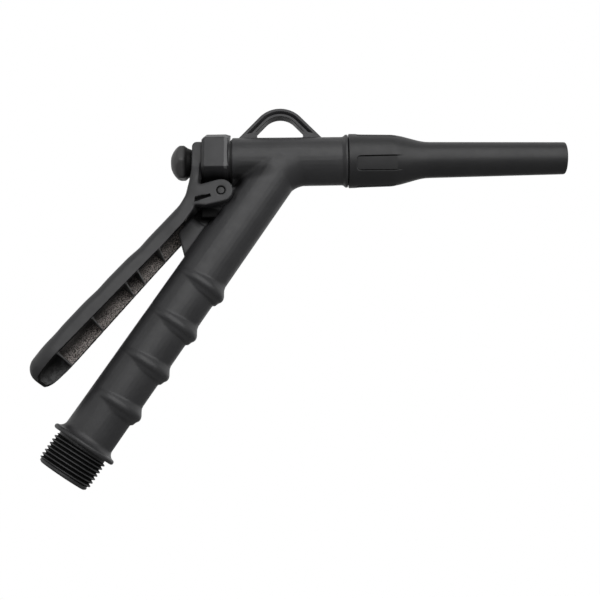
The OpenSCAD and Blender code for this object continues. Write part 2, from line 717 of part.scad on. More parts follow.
module strainer_mesh() at_bend() color(steel) on_grip(strainer_top - strainer_len + 1.5) difference() {
    tube(2 * (strainer_r - bar_t), 2 * (strainer_r - bar_t - mesh_t), strainer_len - 2);
    for (a = [0:15:165]) rotate(a) translate([-12, -0.3, 2]) cube([24, 0.6, strainer_len - 6]);
}

nozzle_body();
spout();
spout_gasket();
seat_ring();
seat_o_ring();
bonnet();
bonnet_gasket();
gland_bush();
stem_o_ring_front();
o_ring_spacer();
stem_o_ring_rear();
spring_washer();
valve_spring();
stem();
poppet();
poppet_seal();
poppet_washer();
poppet_nut();
cap_nut();
lever();
pivot_pin();
inlet_strainer();
strainer_mesh();
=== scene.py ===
"""Fuel nozzle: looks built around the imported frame. Lengths in metres, in the frame's own axes."""
import json
import math

import bmesh
import bpy
import numpy as np
from mathutils import Matrix, Vector


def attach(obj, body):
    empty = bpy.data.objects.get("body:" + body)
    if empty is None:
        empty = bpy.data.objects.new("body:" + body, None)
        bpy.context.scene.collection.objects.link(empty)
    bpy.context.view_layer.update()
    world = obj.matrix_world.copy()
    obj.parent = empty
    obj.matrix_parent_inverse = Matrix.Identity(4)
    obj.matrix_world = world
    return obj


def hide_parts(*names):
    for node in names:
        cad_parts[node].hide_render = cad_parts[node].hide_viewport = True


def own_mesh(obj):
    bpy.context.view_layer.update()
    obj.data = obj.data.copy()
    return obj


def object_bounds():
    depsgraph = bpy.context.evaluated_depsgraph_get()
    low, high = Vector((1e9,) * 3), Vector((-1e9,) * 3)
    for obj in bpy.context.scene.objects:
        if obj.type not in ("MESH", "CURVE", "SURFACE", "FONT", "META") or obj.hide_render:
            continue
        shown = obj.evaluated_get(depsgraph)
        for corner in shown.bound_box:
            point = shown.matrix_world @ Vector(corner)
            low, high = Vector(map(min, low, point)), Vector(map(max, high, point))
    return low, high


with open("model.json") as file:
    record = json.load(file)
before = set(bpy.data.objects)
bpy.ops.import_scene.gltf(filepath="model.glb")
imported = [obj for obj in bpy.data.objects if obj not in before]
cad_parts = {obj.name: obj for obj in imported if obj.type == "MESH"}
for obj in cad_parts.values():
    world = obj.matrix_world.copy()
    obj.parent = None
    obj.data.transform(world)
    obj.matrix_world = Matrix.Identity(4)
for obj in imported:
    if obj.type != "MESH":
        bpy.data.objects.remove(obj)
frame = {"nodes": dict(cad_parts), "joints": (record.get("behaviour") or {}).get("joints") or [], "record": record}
CAD_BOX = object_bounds()
MM = 0.001

# ---- places, from the record
MOUNTS = {m["name"]: m for m in frame["record"]["mounts"]}
JOINTS = {j["name"]: j for j in frame["joints"]}
INLET = Vector(MOUNTS["inlet_face"]["pos_m"])
GRIP_UP = -Vector(MOUNTS["inlet_face"]["axis"]).normalized()
BARREL_Z = MOUNTS["spout_outlet"]["pos_m"][2]
PIVOT = Vector(JOINTS["lever_pivot"]["pos_m"])
PIVOT_TO_BEND = 35.2 * MM
BEND = Vector((PIVOT.x + PIVOT_TO_BEND, 0, BARREL_Z))
SIDE = Vector((0, 1, 0))
# The lever's channel: down its length, and out of its back
LEVER_ANGLE = math.radians(48.4)
DOWN = Vector((-math.cos(LEVER_ANGLE), 0, -math.sin(LEVER_ANGLE)))
BACK = Vector((-math.sin(LEVER_ANGLE), 0, math.cos(LEVER_ANGLE)))


def mm(*sizes):
    """Sizes in mm, turned into metres."""
    return tuple(size * MM for size in sizes)


def placed(name, data):
    """A new object of the data, in the scene."""
    made = bpy.data.objects.new(name, data)
    bpy.context.scene.collection.objects.link(made)
    return made


# ---- camera
CAMERA_AT = Vector((141.63, -625.31, -59.57)) * MM
CAMERA_RIGHT = Vector((0.99988, 0.01233, -0.00962))
CAMERA_FORWARD = Vector((-0.00955, 0.9686, 0.24844)).normalized()
CAMERA_UP = CAMERA_RIGHT.cross(CAMERA_FORWARD).normalized()
LENS, SENSOR, CLIP = 66, 36, (0.01, 20)


def make_camera():
    data = bpy.data.cameras.new("camera")
    data.lens, data.sensor_width = LENS, SENSOR
    data.clip_start, data.clip_end = CLIP
    camera = placed("camera", data)
    right = CAMERA_FORWARD.cross(CAMERA_UP)
    turn = Matrix((right, CAMERA_UP, -CAMERA_FORWARD)).transposed().to_4x4()
    camera.matrix_world = Matrix.Translation(CAMERA_AT) @ turn
    bpy.context.scene.camera = camera


# ---- lights, floor, background
STAGE_MIDDLE = Vector((0.13, 0, 0.12))
# Name, direction from the object (right, up and toward the camera), width and height, power
SOFTBOXES = (
    ("key", (0.39, 0.51, 0.77), (2.4, 1.6), 23),
    ("left", (-0.85, 0.35, 0.45), (1.2, 1.4), 3),
)
# How far the lamps stand, and which way their width runs (right and up)
SOFTBOX_FAR, SOFTBOX_TILT = 1.3, (0.79, -0.61)
# The room grows brighter this way, over this range
ROOM_WAY = (0, 0.94, 0.34)
ROOM_RANGE = {"From Min": -0.35, "From Max": 0.5, "To Min": 0.10, "To Max": 0.85}
FLOOR_Z, FLOOR_REACH = -85 * MM, 1.2
# The grey and the glow that the camera sees, and the grey that lights the object from below
FLOOR_SEEN, FLOOR_GLOW, FLOOR_UNSEEN = 0.75, 0.62, 0.27


def grey(level):
    return (level, level, level, 1)


def new_nodes(tree, *kinds):
    return [tree.nodes.new("ShaderNode" + kind) for kind in kinds]


def connect(tree, *pairs):
    for source, target in pairs:
        tree.links.new(source, target)


def softbox(name, at, along, wide, high, watts):
    """A rectangular lamp that faces the object, with its width turned along a direction."""
    data = bpy.data.lights.new(name, "AREA")
    data.shape, data.size, data.size_y, data.energy = "RECTANGLE", wide, high, watts
    back = (at - STAGE_MIDDLE).normalized()
    side = (along - back * along.dot(back)).normalized()
    turn = Matrix((side, back.cross(side), back)).transposed().to_4x4()
    placed(name, data).matrix_world = Matrix.Translation(at) @ turn


def white_rays(tree):
    """1 for camera and transmission rays, 0 for the rest."""
    path, either = new_nodes(tree, "LightPath", "Math")
    either.operation = "MAXIMUM"
    connect(tree, (path.outputs["Is Camera Ray"], either.inputs[0]),
            (path.outputs["Is Transmission Ray"], either.inputs[1]))
    return either.outputs[0]


def make_world():
    """A room that is dim in front of the object and bright behind it; the camera sees plain white."""
    world = bpy.data.worlds.new("studio")
    bpy.context.scene.world = world
    world.use_nodes = True
    tree = world.node_tree
    tree.nodes.clear()
    out, mix, room, white = new_nodes(tree, "OutputWorld", "MixShader", "Background", "Background")
    where, lean, spread = new_nodes(tree, "TexCoord", "VectorMath", "MapRange")
    white.inputs["Color"].default_value = grey(1)
    lean.operation = "DOT_PRODUCT"
    lean.inputs[1].default_value = ROOM_WAY
    spread.interpolation_type = "SMOOTHSTEP"
    for name, value in ROOM_RANGE.items():
        spread.inputs[name].default_value = value
    connect(tree, (where.outputs["Generated"], lean.inputs[0]),
            (lean.outputs["Value"], spread.inputs["Value"]),
            (spread.outputs[0], room.inputs["Strength"]), (white_rays(tree), mix.inputs[0]),
            (room.outputs[0], mix.inputs[1]), (white.outputs[0], mix.inputs[2]),
            (mix.outputs[0], out.inputs[0]))


def make_floor():
    """A pale floor, near white to the camera apart from the object's shadow."""
    material = bpy.data.materials.new("floor")
    material.use_nodes = True
    tree = material.node_tree
    tree.nodes.clear()
    out, mix, seen = new_nodes(tree, "OutputMaterial", "MixShader", "AddShader")
    paint, glow, unseen = new_nodes(tree, "BsdfDiffuse", "Emission", "BsdfDiffuse")
    paint.inputs["Color"].default_value = grey(FLOOR_SEEN)
    unseen.inputs["Color"].default_value = grey(FLOOR_UNSEEN)
    glow.inputs["Strength"].default_value = FLOOR_GLOW
    connect(tree, (white_rays(tree), mix.inputs[0]), (unseen.outputs[0], mix.inputs[1]),
            (seen.outputs[0], mix.inputs[2]), (paint.outputs[0], seen.inputs[0]),
            (glow.outputs[0], seen.inputs[1]), (mix.outputs[0], out.inputs[0]))
    mesh = bpy.data.meshes.new("floor")
    middle = (CAD_BOX[0][0] + CAD_BOX[1][0]) / 2
    corners = [(middle + x * FLOOR_REACH, y * FLOOR_REACH, FLOOR_Z)
               for x, y in ((-1, -1), (1, -1), (1, 1), (-1, 1))]
    mesh.from_pydata(corners, [], [(0, 1, 2, 3)])
    mesh.materials.append(material)
    placed("floor", mesh)


def make_stage():
    bpy.context.scene.view_settings.view_transform = "Standard"
    make_world()
    make_floor()
    tilt = CAMERA_RIGHT * SOFTBOX_TILT[0] + CAMERA_UP * SOFTBOX_TILT[1]
    for name, (right, up, toward), (wide, high), watts in SOFTBOXES:
        way = (CAMERA_RIGHT * right + CAMERA_UP * up - CAMERA_FORWARD * toward).normalized()
        softbox(name, STAGE_MIDDLE + way * SOFTBOX_FAR, tilt, wide, high, watts)


# ---- materials
class Look:
    """A node material under construction, in object coordinates so that grain has a real size."""

    def __init__(self, material):
        self.material, self.tree = material, material.node_tree
        self.shader = self.tree.nodes["Principled BSDF"]
        self.coordinates = self.node("ShaderNodeTexCoord").outputs["Object"]

    @classmethod
    def new(cls, name):
        material = bpy.data.materials.new(name)
        material.use_nodes = True
        return cls(material)

    def node(self, kind, **settings):
        made = self.tree.nodes.new(kind)
        for key, value in settings.items():
            setattr(made, key, value)
        return made

    def link(self, source, target):
        self.tree.links.new(source, target)

    def wear(self, name, source):
        """Feeds one of the shader's own sockets."""
        self.link(source, self.shader.inputs[name])

    def noise(self, period, detail=3.0, rough=0.5):
        """Noise whose blobs are about period across, in metres."""
        made = self.node("ShaderNodeTexNoise")
        made.inputs["Scale"].default_value = 1 / period
        made.inputs["Detail"].default_value = detail
        made.inputs["Roughness"].default_value = rough
        self.link(self.coordinates, made.inputs["Vector"])
        return made.outputs["Fac"]

    def spread(self, value, low, high, to_low, to_high):
        """The value's stretch from low to high, laid over another stretch and held at its ends."""
        made = self.node("ShaderNodeMapRange")
        names = ("From Min", "From Max", "To Min", "To Max")
        for name, number in zip(names, (low, high, to_low, to_high)):
            made.inputs[name].default_value = number
        self.link(value, made.inputs["Value"])
        return made.outputs[0]

    def product(self, value, other):
        """A value times another one, or times a number."""
        made = self.node("ShaderNodeMath", operation="MULTIPLY")
        self.link(value, made.inputs[0])
        if isinstance(other, float):
            made.inputs[1].default_value = other
        else:
            self.link(other, made.inputs[1])
        return made.outputs[0]

    def mix(self, share, first, second):
        """A mix of two colours, each a tuple or a socket."""
        made = self.node("ShaderNodeMix", data_type="RGBA")
        self.link(share, made.inputs["Factor"])
        for slot, colour in (("A", first), ("B", second)):
            socket = [i for i in made.inputs if i.name == slot and i.type == "RGBA"][0]
            if isinstance(colour, tuple):
                socket.default_value = (*colour, 1)
            else:
                self.link(colour, socket)
        return [o for o in made.outputs if o.type == "RGBA"][0]

    def bump(self, height, distance):
        made = self.node("ShaderNodeBump")
        made.inputs["Strength"].default_value = 1
        made.inputs["Distance"].default_value = distance
        self.link(height, made.inputs["Height"])
        self.wear("Normal", made.outputs[0])


# Sizes of the plastic's mottle, sheen patches and pebble grain, and the grain's depth
MOTTLE, SHEEN, PEBBLE, PEBBLE_DEPTH = mm(14, 5, 0.35, 0.02)
# The same for turned metal
TURNED_MOTTLE, TURNED_SHEEN, TURNED_GRAIN, TURNED_DEPTH = mm(3, 1.5, 0.2, 0.01)
# Painted shade: its colour, the share of its reach where it is full, and the share of the gloss that it takes
PAINTED_SHADE, PAINTED_SHADE_CORE, PAINTED_SHADE_DULL = (0.004, 0.004, 0.004), 0.6, 0.92
SPECULAR, MATT_SPECULAR = 0.5, 0.1
# Painted shade in the lever's channel: the depth, out of the pivot, over which it goes from black to its own
# colour
CHANNEL_DARK, CHANNEL_LIT, CHANNEL_SHADE = 6.8 * MM, 11.8 * MM, (0.006, 0.006, 0.006)


def plastic(name, dark, light, rough):
    """Moulded plastic: mottled colour, patchy sheen, fine pebble grain."""
    look = Look.new(name)
    patches = look.spread(look.noise(MOTTLE, 4), 0.35, 0.65, 0, 1)
    look.wear("Base Color", look.mix(patches, dark, light))
    look.wear("Roughness", look.spread(look.noise(SHEEN, 4), 0.3, 0.7, rough - 0.05, rough + 0.06))
    look.bump(look.noise(PEBBLE, 2), PEBBLE_DEPTH)
    return look.material


def metal(name, colour, rough):
    """Turned metal: slight mottle and patchy sheen."""
    look = Look.new(name)
    look.shader.inputs["Metallic"].default_value = 1
    darker = tuple(c * 0.8 for c in colour)
    look.wear("Base Color", look.mix(look.noise(TURNED_MOTTLE, 4), darker, colour))
    sheen = look.noise(TURNED_SHEEN, 3)
    look.wear("Roughness", look.spread(sheen, 0.3, 0.7, rough - 0.06, rough + 0.08))
    look.bump(look.noise(TURNED_GRAIN, 2), TURNED_DEPTH)
    return look.material


def channel_look(name, dark, light, grain, depth):
    """Coarse grain, with painted shade that blackens it towards the bottom of the lever's channel."""
    look = Look.new(name)
    speckle = look.spread(look.noise(grain, 3, 0.6), 0.42, 0.58, 0, 1)
    colour = look.mix(speckle, dark, light)
    out = look.node("ShaderNodeVectorMath", operation="DOT_PRODUCT")
    look.link(look.coordinates, out.inputs[0])
    out.inputs[1].default_value = BACK
    base = PIVOT.dot(BACK)
    shade = look.spread(out.outputs["Value"], base + CHANNEL_DARK, base + CHANNEL_LIT, 0, 1)
    look.wear("Base Color", look.mix(shade, colour, CHANNEL_SHADE))
    look.shader.inputs["Roughness"].default_value = 0.8
    look.bump(speckle, depth)
    return look.material


def paint_shade(material, *spots):
    """Paints shade onto a plastic: darker and less glossy, softly, around places, each a centre and three radii in
    metres and a strength.
    """
    look = Look(material)
    colour, gloss = look.shader.inputs["Base Color"].links[0].from_socket, SPECULAR
    for centre, radii, strength in spots:
        place = look.node("ShaderNodeMapping", vector_type="TEXTURE")
        place.inputs["Location"].default_value = centre
        place.inputs["Scale"].default_value = radii
        look.link(look.coordinates, place.inputs["Vector"])
        length = look.node("ShaderNodeVectorMath", operation="LENGTH")
        look.link(place.outputs[0], length.inputs[0])
        far = length.outputs["Value"]
        colour = look.mix(look.spread(far, PAINTED_SHADE_CORE, 1, strength, 0), colour, PAINTED_SHADE)
        gloss = look.product(look.spread(far, PAINTED_SHADE_CORE, 1, 1 - PAINTED_SHADE_DULL * strength, 1), gloss)
    look.wear("Specular IOR Level", gloss)
    look.wear("Base Color", colour)


# The two colours of the mottle, and the roughness
PLASTICS = {
    "body_plastic": ((0.0285, 0.0285, 0.030), (0.0345, 0.0345, 0.036), 0.42),
    "spout_plastic": ((0.0155, 0.0155, 0.0165), (0.0195, 0.0195, 0.0205), 0.42),
    "bonnet_plastic": ((0.022, 0.022, 0.0235), (0.028, 0.028, 0.030), 0.42),
    "lever_plastic": ((0.031, 0.031, 0.0322), (0.037, 0.037, 0.0385), 0.45),
    "cap_plastic": ((0.051, 0.050, 0.050), (0.059, 0.058, 0.058), 0.42),
    "pin_steel": ((0.024, 0.024, 0.0245), (0.030, 0.030, 0.031), 0.45),
    "panel_matt": ((0.050, 0.050, 0.051), (0.057, 0.057, 0.058), 0.8),
    # Painted highlight, lighter than the bonnet, for its front bevel
    "painted_bevel_highlight": ((0.075, 0.075, 0.076), (0.11, 0.11, 0.112), 0.5),
    # Painted shade: near black, for the thread's roots, the panels' lines, the lever's rim, slots and pin rings
    "painted_groove_shade": ((0.003, 0.003, 0.003), (0.005, 0.005, 0.005), 0.7),
    "strainer_plastic": ((0.018, 0.018, 0.0185), (0.022, 0.022, 0.022), 0.5),
    "rubber": ((0.012, 0.012, 0.012), (0.016, 0.016, 0.016), 0.7),
    "acetal": ((0.72, 0.71, 0.67), (0.80, 0.79, 0.75), 0.4),
}
METALS = {
    "brass": ((0.71, 0.57, 0.29), 0.3),
    "steel": ((0.62, 0.62, 0.61), 0.32),
}
# The two colours of the grain, its size and its depth
CHANNELS = {
    "lever_inner": ((0.10, 0.09, 0.085), (0.86, 0.78, 0.74), 0.62 * MM, 0.15 * MM),
    "lever_inner_tip": ((0.08, 0.08, 0.08), (0.17, 0.17, 0.17), 2.5 * MM, 0.05 * MM),
}
LOOKS = {name: make(name, *values)
         for make, table in ((plastic, PLASTICS), (metal, METALS), (channel_look, CHANNELS))
         for name, values in table.items()}


def finish_looks():
    """Takes the gloss off the matt looks, and paints shade onto the places that lie in deep shade."""
    for name in ("painted_groove_shade", "panel_matt"):
        shader = LOOKS[name].node_tree.nodes["Principled BSDF"]
        shader.inputs["Specular IOR Level"].default_value = MATT_SPECULAR
    # Painted shade under the ears, and in the corner between barrel and grip
    paint_shade(LOOKS["body_plastic"],
          (PIVOT + Vector((-9, 0, -11.7)) * MM, (13 * MM, 28 * MM, 6.5 * MM), 0.95),
          (BEND + Vector((-25, 0, -17)) * MM, (8 * MM, 17 * MM, 8.5 * MM), 1),
          (BEND + Vector((-18, 0, -10.5)) * MM, (17 * MM, 40 * MM, 6.5 * MM), 0.45))
    # Painted shade under the bonnet, and in front of the cap nut
    paint_shade(LOOKS["bonnet_plastic"], (BEND + Vector((-39, 0, -16)) * MM, (20 * MM, 21 * MM, 8.3 * MM), 1))
    paint_shade(LOOKS["cap_plastic"], (BEND + Vector((-54.5, 0, 0)) * MM, (5 * MM, 40 * MM, 40 * MM), 0.9))


def dress_cad():
    """Gives every CAD node its record slot's look."""
    slots = {s["node"]: s["material_slot"] for s in frame["record"]["subparts"]}
    for name, node in frame["nodes"].items():
        node.data.materials.clear()
        node.data.materials.append(LOOKS[slots[name]])


# ---- mesh tools
def mesh_object(name, mesh, body, slot, *nodes, smooth=True):
    """A finished piece: rides on its body, wears its slot's look, and stands for its CAD nodes."""
    made = placed(name, mesh)
    mesh.materials.clear()
    mesh.materials.append(LOOKS[slot])
    mesh.polygons.foreach_set("use_smooth", [smooth] * len(mesh.polygons))
    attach(made, body)
    if nodes:
        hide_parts(*nodes)
    return made


def pick_looks(piece, pick, *names):
    """Gives each face the look that pick names: 0 is the piece's own, 1 the first of names, and so on."""
    for name in names:
        piece.data.materials.append(LOOKS[name])
    piece.data.polygons.foreach_set("material_index", pick.astype(np.int32))


def evaluated(mesh, kind, **settings):
    """The mesh after a modifier."""
    holder = placed("holder", mesh)
    modifier = holder.modifiers.new(kind, kind)
    for key, value in settings.items():
        setattr(modifier, key, value)
    graph = bpy.context.evaluated_depsgraph_get()
    made = bpy.data.meshes.new_from_object(holder.evaluated_get(graph))
    bpy.data.objects.remove(holder)
    return made


def rows_of(items, name):
    """A vector that each of a mesh's items has, as rows."""
    flat = np.empty(len(items) * 3, np.float32)
    items.foreach_get(name, flat)
    return flat.reshape(-1, 3).astype(float)


def points_of(mesh):
    return rows_of(mesh.vertices, "co")


def set_points(mesh, points):
    mesh.vertices.foreach_set("co", points.astype(np.float32).ravel())
    mesh.update()


def smoothstep(low, high, value):
    t = np.clip((value - low) / (high - low), 0, 1)
    return t * t * (3 - 2 * t)


def soft_min(a, b, blend):
    """The smaller of two lengths, with the corner between them rounded."""
    h = np.clip(0.5 + 0.5 * (b - a) / blend, 0, 1)
    return b + (a - b) * h - blend * h * (1 - h)


def relax(mesh, weights, rounds):
    """Laplacian smoothing in which each point moves by its own weight."""
    edges = np.empty(len(mesh.edges) * 2, np.int32)
    mesh.edges.foreach_get("vertices", edges)
    a, b = edges.reshape(-1, 2).T
    points = points_of(mesh)
    count = np.bincount(a, minlength=len(points)) + np.bincount(b, minlength=len(points))
    pull = (weights * 0.5)[:, None]
    for _ in range(rounds):
        total = np.empty_like(points)
        for axis in range(3):
            total[:, axis] = (np.bincount(a, points[b, axis], len(points))
                              + np.bincount(b, points[a, axis], len(points)))
        points += (total / count[:, None] - points) * pull
    set_points(mesh, points)


# ---- solids to add and to cut with
def finished(work, name):
    """The mesh of a bmesh, with its normals outwards."""
    bmesh.ops.recalc_face_normals(work, faces=work.faces)
    mesh = bpy.data.meshes.new(name)
    work.to_mesh(mesh)
    work.free()
    return mesh


def prism(points, direction, depth):
    """Mesh of a flat outline carried along a direction by depth."""
    work = bmesh.new()
    ring = [work.verts.new(p) for p in points]
    work.faces.new(ring)
    carried = bmesh.ops.extrude_face_region(work, geom=work.faces[:])["geom"]
    bmesh.ops.translate(work, vec=Vector(direction) * depth,
                        verts=[g for g in carried if isinstance(g, bmesh.types.BMVert)])
    return finished(work, "prism")


def block(x, y, z):
    """Mesh of a block between two X, two Y and two Z, in mm from the bend."""
    corners = [BEND + Vector((a * MM, y[0] * MM, b * MM))
               for a, b in ((x[0], z[0]), (x[1], z[0]), (x[1], z[1]), (x[0], z[1]))]
    return prism(corners, (0, 1, 0), (y[1] - y[0]) * MM)


def drum(start, way, length, radius, sides=96):
    """Mesh of a plain drum, for cutting."""
    way = Vector(way).normalized()
    first = way.orthogonal().normalized()
    second = way.cross(first)
    ring = [Vector(start) + (first * math.cos(a) + second * math.sin(a)) * radius
            for a in np.arange(sides) * 2 * math.pi / sides]
    return prism(ring, way, length)


def joined(*meshes):
    """One mesh of several, which may overlap."""
    work = bmesh.new()
    for mesh in meshes:
        work.from_mesh(mesh)
    made = bpy.data.meshes.new("joined")
    work.to_mesh(made)
    work.free()
    return made


def cut(mesh, *tools):
    """The mesh with each tool's solid taken out of it."""
    for tool in tools:
        cutter = placed("cutter", tool)
        mesh = evaluated(mesh, "BOOLEAN", object=cutter, operation="DIFFERENCE", solver="EXACT")
        bpy.data.objects.remove(cutter)
    return mesh


def softened(mesh, voxel, rounds):
    """A mesh rebuilt as an even skin whose edges are slightly rounded, as a moulding's are."""
    mesh = evaluated(mesh, "REMESH", mode="VOXEL", voxel_size=voxel)
    relax(mesh, np.ones(len(mesh.vertices)), rounds)
    return mesh


# ---- lathe and sweep tools
def closed_skin(points):
    """Mesh over a grid of points that joins up both ways: (rings, points per ring, 3)."""
    rings, each = points.shape[:2]
    index = np.arange(rings * each).reshape(rings, each)
    after = np.roll(index, -1, 0)
    quads = np.stack([index, after, np.roll(after, -1, 1), np.roll(index, -1, 1)], -1).reshape(-1, 4)
    mesh = bpy.data.meshes.new("skin")
    mesh.vertices.add(rings * each)
    mesh.loops.add(quads.size)
    mesh.polygons.add(len(quads))
    mesh.loops.foreach_set("vertex_index", quads.ravel())
    mesh.polygons.foreach_set("loop_start", np.arange(0, quads.size, 4))
    set_points(mesh, points.reshape(-1, 3))
    mesh.validate()
    work = bmesh.new()
    work.from_mesh(mesh)
    return finished(work, "skin")


def closed_strip(points):
    """Mesh over rings of points along a path, closed round each ring and capped at both ends."""
    each = points.shape[1]
    work = bmesh.new()
    rows = [[work.verts.new(p) for p in ring] for ring in points]
    for a, b in zip(rows, rows[1:]):
        for k in range(each):
            work.faces.new((a[k], a[(k + 1) % each], b[(k + 1) % each], b[k]))
    work.faces.new(rows[0])
    work.faces.new(rows[-1])
    bmesh.ops.dissolve_degenerate(work, dist=1e-7, edges=work.edges)
    return finished(work, "strip")


def fillet_arc(here, back, ahead, fillet, step):
    """Points of the fillet in a corner between two others, or the corner itself where it has none."""
    to_back, to_ahead = (v / np.linalg.norm(v) for v in (back - here, ahead - here))
    half = math.acos(np.clip(to_back @ to_ahead, -1, 1)) / 2
    nearly_straight = half > 1.56
    if fillet == 0 or nearly_straight:
        return [here]
    reach = fillet / math.tan(half)
    start, end = here + to_back * reach, here + to_ahead * reach
    middle = here + (to_back + to_ahead) / np.linalg.norm(to_back + to_ahead) * fillet / math.sin(half)
    turn = math.pi - 2 * half
    count = max(3, int(turn / 0.2), int(fillet * turn / step))
    a, b = start - middle, end - middle
    return [middle + (a * math.sin((1 - t) * turn) + b * math.sin(t * turn)) / math.sin(turn)
            for t in np.linspace(0, 1, count + 1)]


def outline(corners, step):
    """Closed outline through corners (x, r, fillet), with its fillets rounded and its sides in steps."""
    spots = np.array([c[:2] for c in corners], float)
    arcs = [fillet_arc(spots[i], spots[i - 1], spots[(i + 1) % len(spots)], corner[2], step)
            for i, corner in enumerate(corners)]
    points = []
    for i, arc in enumerate(arcs):
        points.extend(arc)
        start, end = arc[-1], arcs[(i + 1) % len(arcs)][0]
        count = int(np.linalg.norm(end - start) / step)
        points.extend(start + (end - start) * k / count for k in range(1, count))
    return np.array(points)


def about_barrel(x, radius, angles):
    """Points about the barrel's axis, at stations x from the bend and radii (stations, angles)."""
    x = np.asarray(x).reshape(len(radius), -1) + 0 * radius
    return np.stack([BEND.x + x, BEND.y + radius * np.sin(angles), BEND.z - radius * np.cos(angles)], -1)


def from_barrel(mesh):
    """Middles of a mesh's faces: station from the bend, distance from the barrel's axis, angle, height."""
    centre = rows_of(mesh.polygons, "center") - np.array(BEND)
    x, y, z = centre.T
    return x, np.hypot(y, z), np.arctan2(y, -z), z


# ---- body moulding
# Body, slot and CAD node of the pieces that make up the moulding
BODY = ("nozzle", "body_plastic", "nozzle_body")
# Fineness of the rebuilt skin, and the share of its faces that is kept
BODY_VOXEL, BODY_SHARE = 0.45 * MM, 0.5
BARREL_R, GRIP_R = mm(14.75, 15.0)
BEND_FILLET = 13 * MM
# Farther than any of the object reaches
BEYOND = 1.0
# The cuts that make room for the threaded stub and the loop, which are pieces of their own
FLANGE_FACE, STUB_CUT_R = mm(19.9, 18.5)
LOOP_CUT, LOOP_CUT_X, LOOP_CUT_HIGH, LOOP_CUT_HALF = 14.85 * MM, mm(-28.5, 32), 22 * MM, 6 * MM
# The web under the lug: two X, two Y and two Z, in mm from the bend
GUSSET = ((-29.4, -20), (-7, 7), (-22, -12.5))
# The crease between barrel and grip: width of its fill, how far the two skins part, and skin depth
CREASE, CREASE_PARTING, CREASE_SKIN = 1.6 * MM, (0.01, 0.25), mm(0.3, 0.8)
# The flanks round the ears: half width, how far they rise again, and the distances between which
DISH_HALF, DISH_RISE, DISH_FROM, DISH_TO = mm(11.2, 4.2, 7.2, 12.5)
# The lug below the ears: half width, reach, how far it goes ahead of the pivot, and the drop
# over which it steps in by a share
LUG_HALF, LUG_REACH, LUG_FRONT = mm(10.2, 21, 4)
LUG_DROP, LUG_STEP = mm(6.5, 8), 0.3


def split(away):
    """Lengths of vectors, and the vectors at unit length."""
    far = np.linalg.norm(away, axis=1)
    return far, away / np.maximum(far, 1e-9)[:, None]


def line_distance(points, start, way, low, high):
    """Distance from a stretch of a straight line, and the unit vectors away from it."""
    start, way = np.array(start), np.array(way)
    along = np.clip((points - start) @ way, low, high)
    return split(points - (start + along[:, None] * way))


def arc_distance(points, centre, radius, start, end):
    """Distance from an arc in the X-Z plane, between two angles from +Z towards -X."""
    local = points - np.array(centre)
    angle = np.clip(np.arctan2(-local[:, 0], local[:, 2]), start, end)
    spot = np.stack([-np.sin(angle), np.zeros_like(angle), np.cos(angle)], 1) * radius
    return split(local - spot)


def fill_crease(mesh):
    """Rounds the valley where the rear of the barrel runs into the bent grip, as the moulding does."""
    points = points_of(mesh)
    slant = math.acos(GRIP_UP.x)
    meet = INLET + GRIP_UP * ((BARREL_Z - INLET.z) / GRIP_UP.z)
    turn_r = BEND_FILLET + BARREL_R
    reach = turn_r * math.tan(slant / 2)
    centre = meet + Vector((reach, 0, -turn_r))
    grip, grip_out = line_distance(points, meet, -GRIP_UP, reach, BEYOND)
    bend, bend_out = arc_distance(points, centre, turn_r, 0, slant)
    rear, rear_out = line_distance(points, meet, (-1, 0, 0), -reach, BEYOND)
    nearer = bend < grip
    elbow = np.where(nearer, bend, grip) - np.where(nearer, BARREL_R, GRIP_R)
    elbow_out = np.where(nearer[:, None], bend_out, grip_out)
    rear = rear - BARREL_R
    parting = 1 - (elbow_out * rear_out).sum(1)
    surface = np.minimum(elbow, rear)
    share = smoothstep(*CREASE_PARTING, parting) * (1 - smoothstep(*CREASE_SKIN, np.abs(surface)))
    lift = np.maximum(CREASE - np.abs(elbow - rear), 0) ** 2 / (4 * CREASE) * share
    _, way = split(elbow_out + rear_out)
    set_points(mesh, points + way * lift[:, None])
    relax(mesh, smoothstep(0.02 * MM, 0.3 * MM, lift), 6)


def dish_flanks(mesh):
    """Sinks the grip's flanks round the lever's ears, so that each ear stands clear all round."""
    points = points_of(mesh)
    far = np.hypot(points[:, 0] - PIVOT.x, points[:, 2] - PIVOT.z)
    limit = DISH_HALF + DISH_RISE * smoothstep(DISH_FROM, DISH_TO, far)
    limit = np.where(far < DISH_TO, limit, BEYOND)
    side = np.abs(points[:, 1])
    # Below the ears the lug steps in, so it lies in their shade
    below = smoothstep(*LUG_DROP, PIVOT.z - points[:, 2]) * (points[:, 0] < PIVOT.x + LUG_FRONT)
    lug = (side < LUG_HALF) & (far < LUG_REACH)
    squeeze = np.where(lug, 1 - LUG_STEP * below, 1)
    points[:, 1] = np.sign(points[:, 1]) * np.minimum(side * squeeze, limit)
    set_points(mesh, points)
    relax(mesh, (far < 14 * MM) * (far > 7.5 * MM) * 1.0, 4)


def make_body():
    source = frame["nodes"]["nozzle_body"].data.copy()
    stub = drum(INLET - GRIP_UP * MM, GRIP_UP, FLANGE_FACE + MM, STUB_CUT_R)
    corner = BEND + Vector((0, -LOOP_CUT_HALF, LOOP_CUT))
    rear, front = LOOP_CUT_X
    loop = prism([corner + Vector((x, 0, z))
                  for x, z in ((rear, 0), (front, 0), (front, LOOP_CUT_HIGH), (rear, LOOP_CUT_HIGH))],
                 (0, 1, 0), 2 * LOOP_CUT_HALF)
    mesh = softened(joined(cut(source, stub, loop), block(*GUSSET)), BODY_VOXEL, 3)
    fill_crease(mesh)
    dish_flanks(mesh)
    mesh_object("body_shell", evaluated(mesh, "DECIMATE", ratio=BODY_SHARE), *BODY)


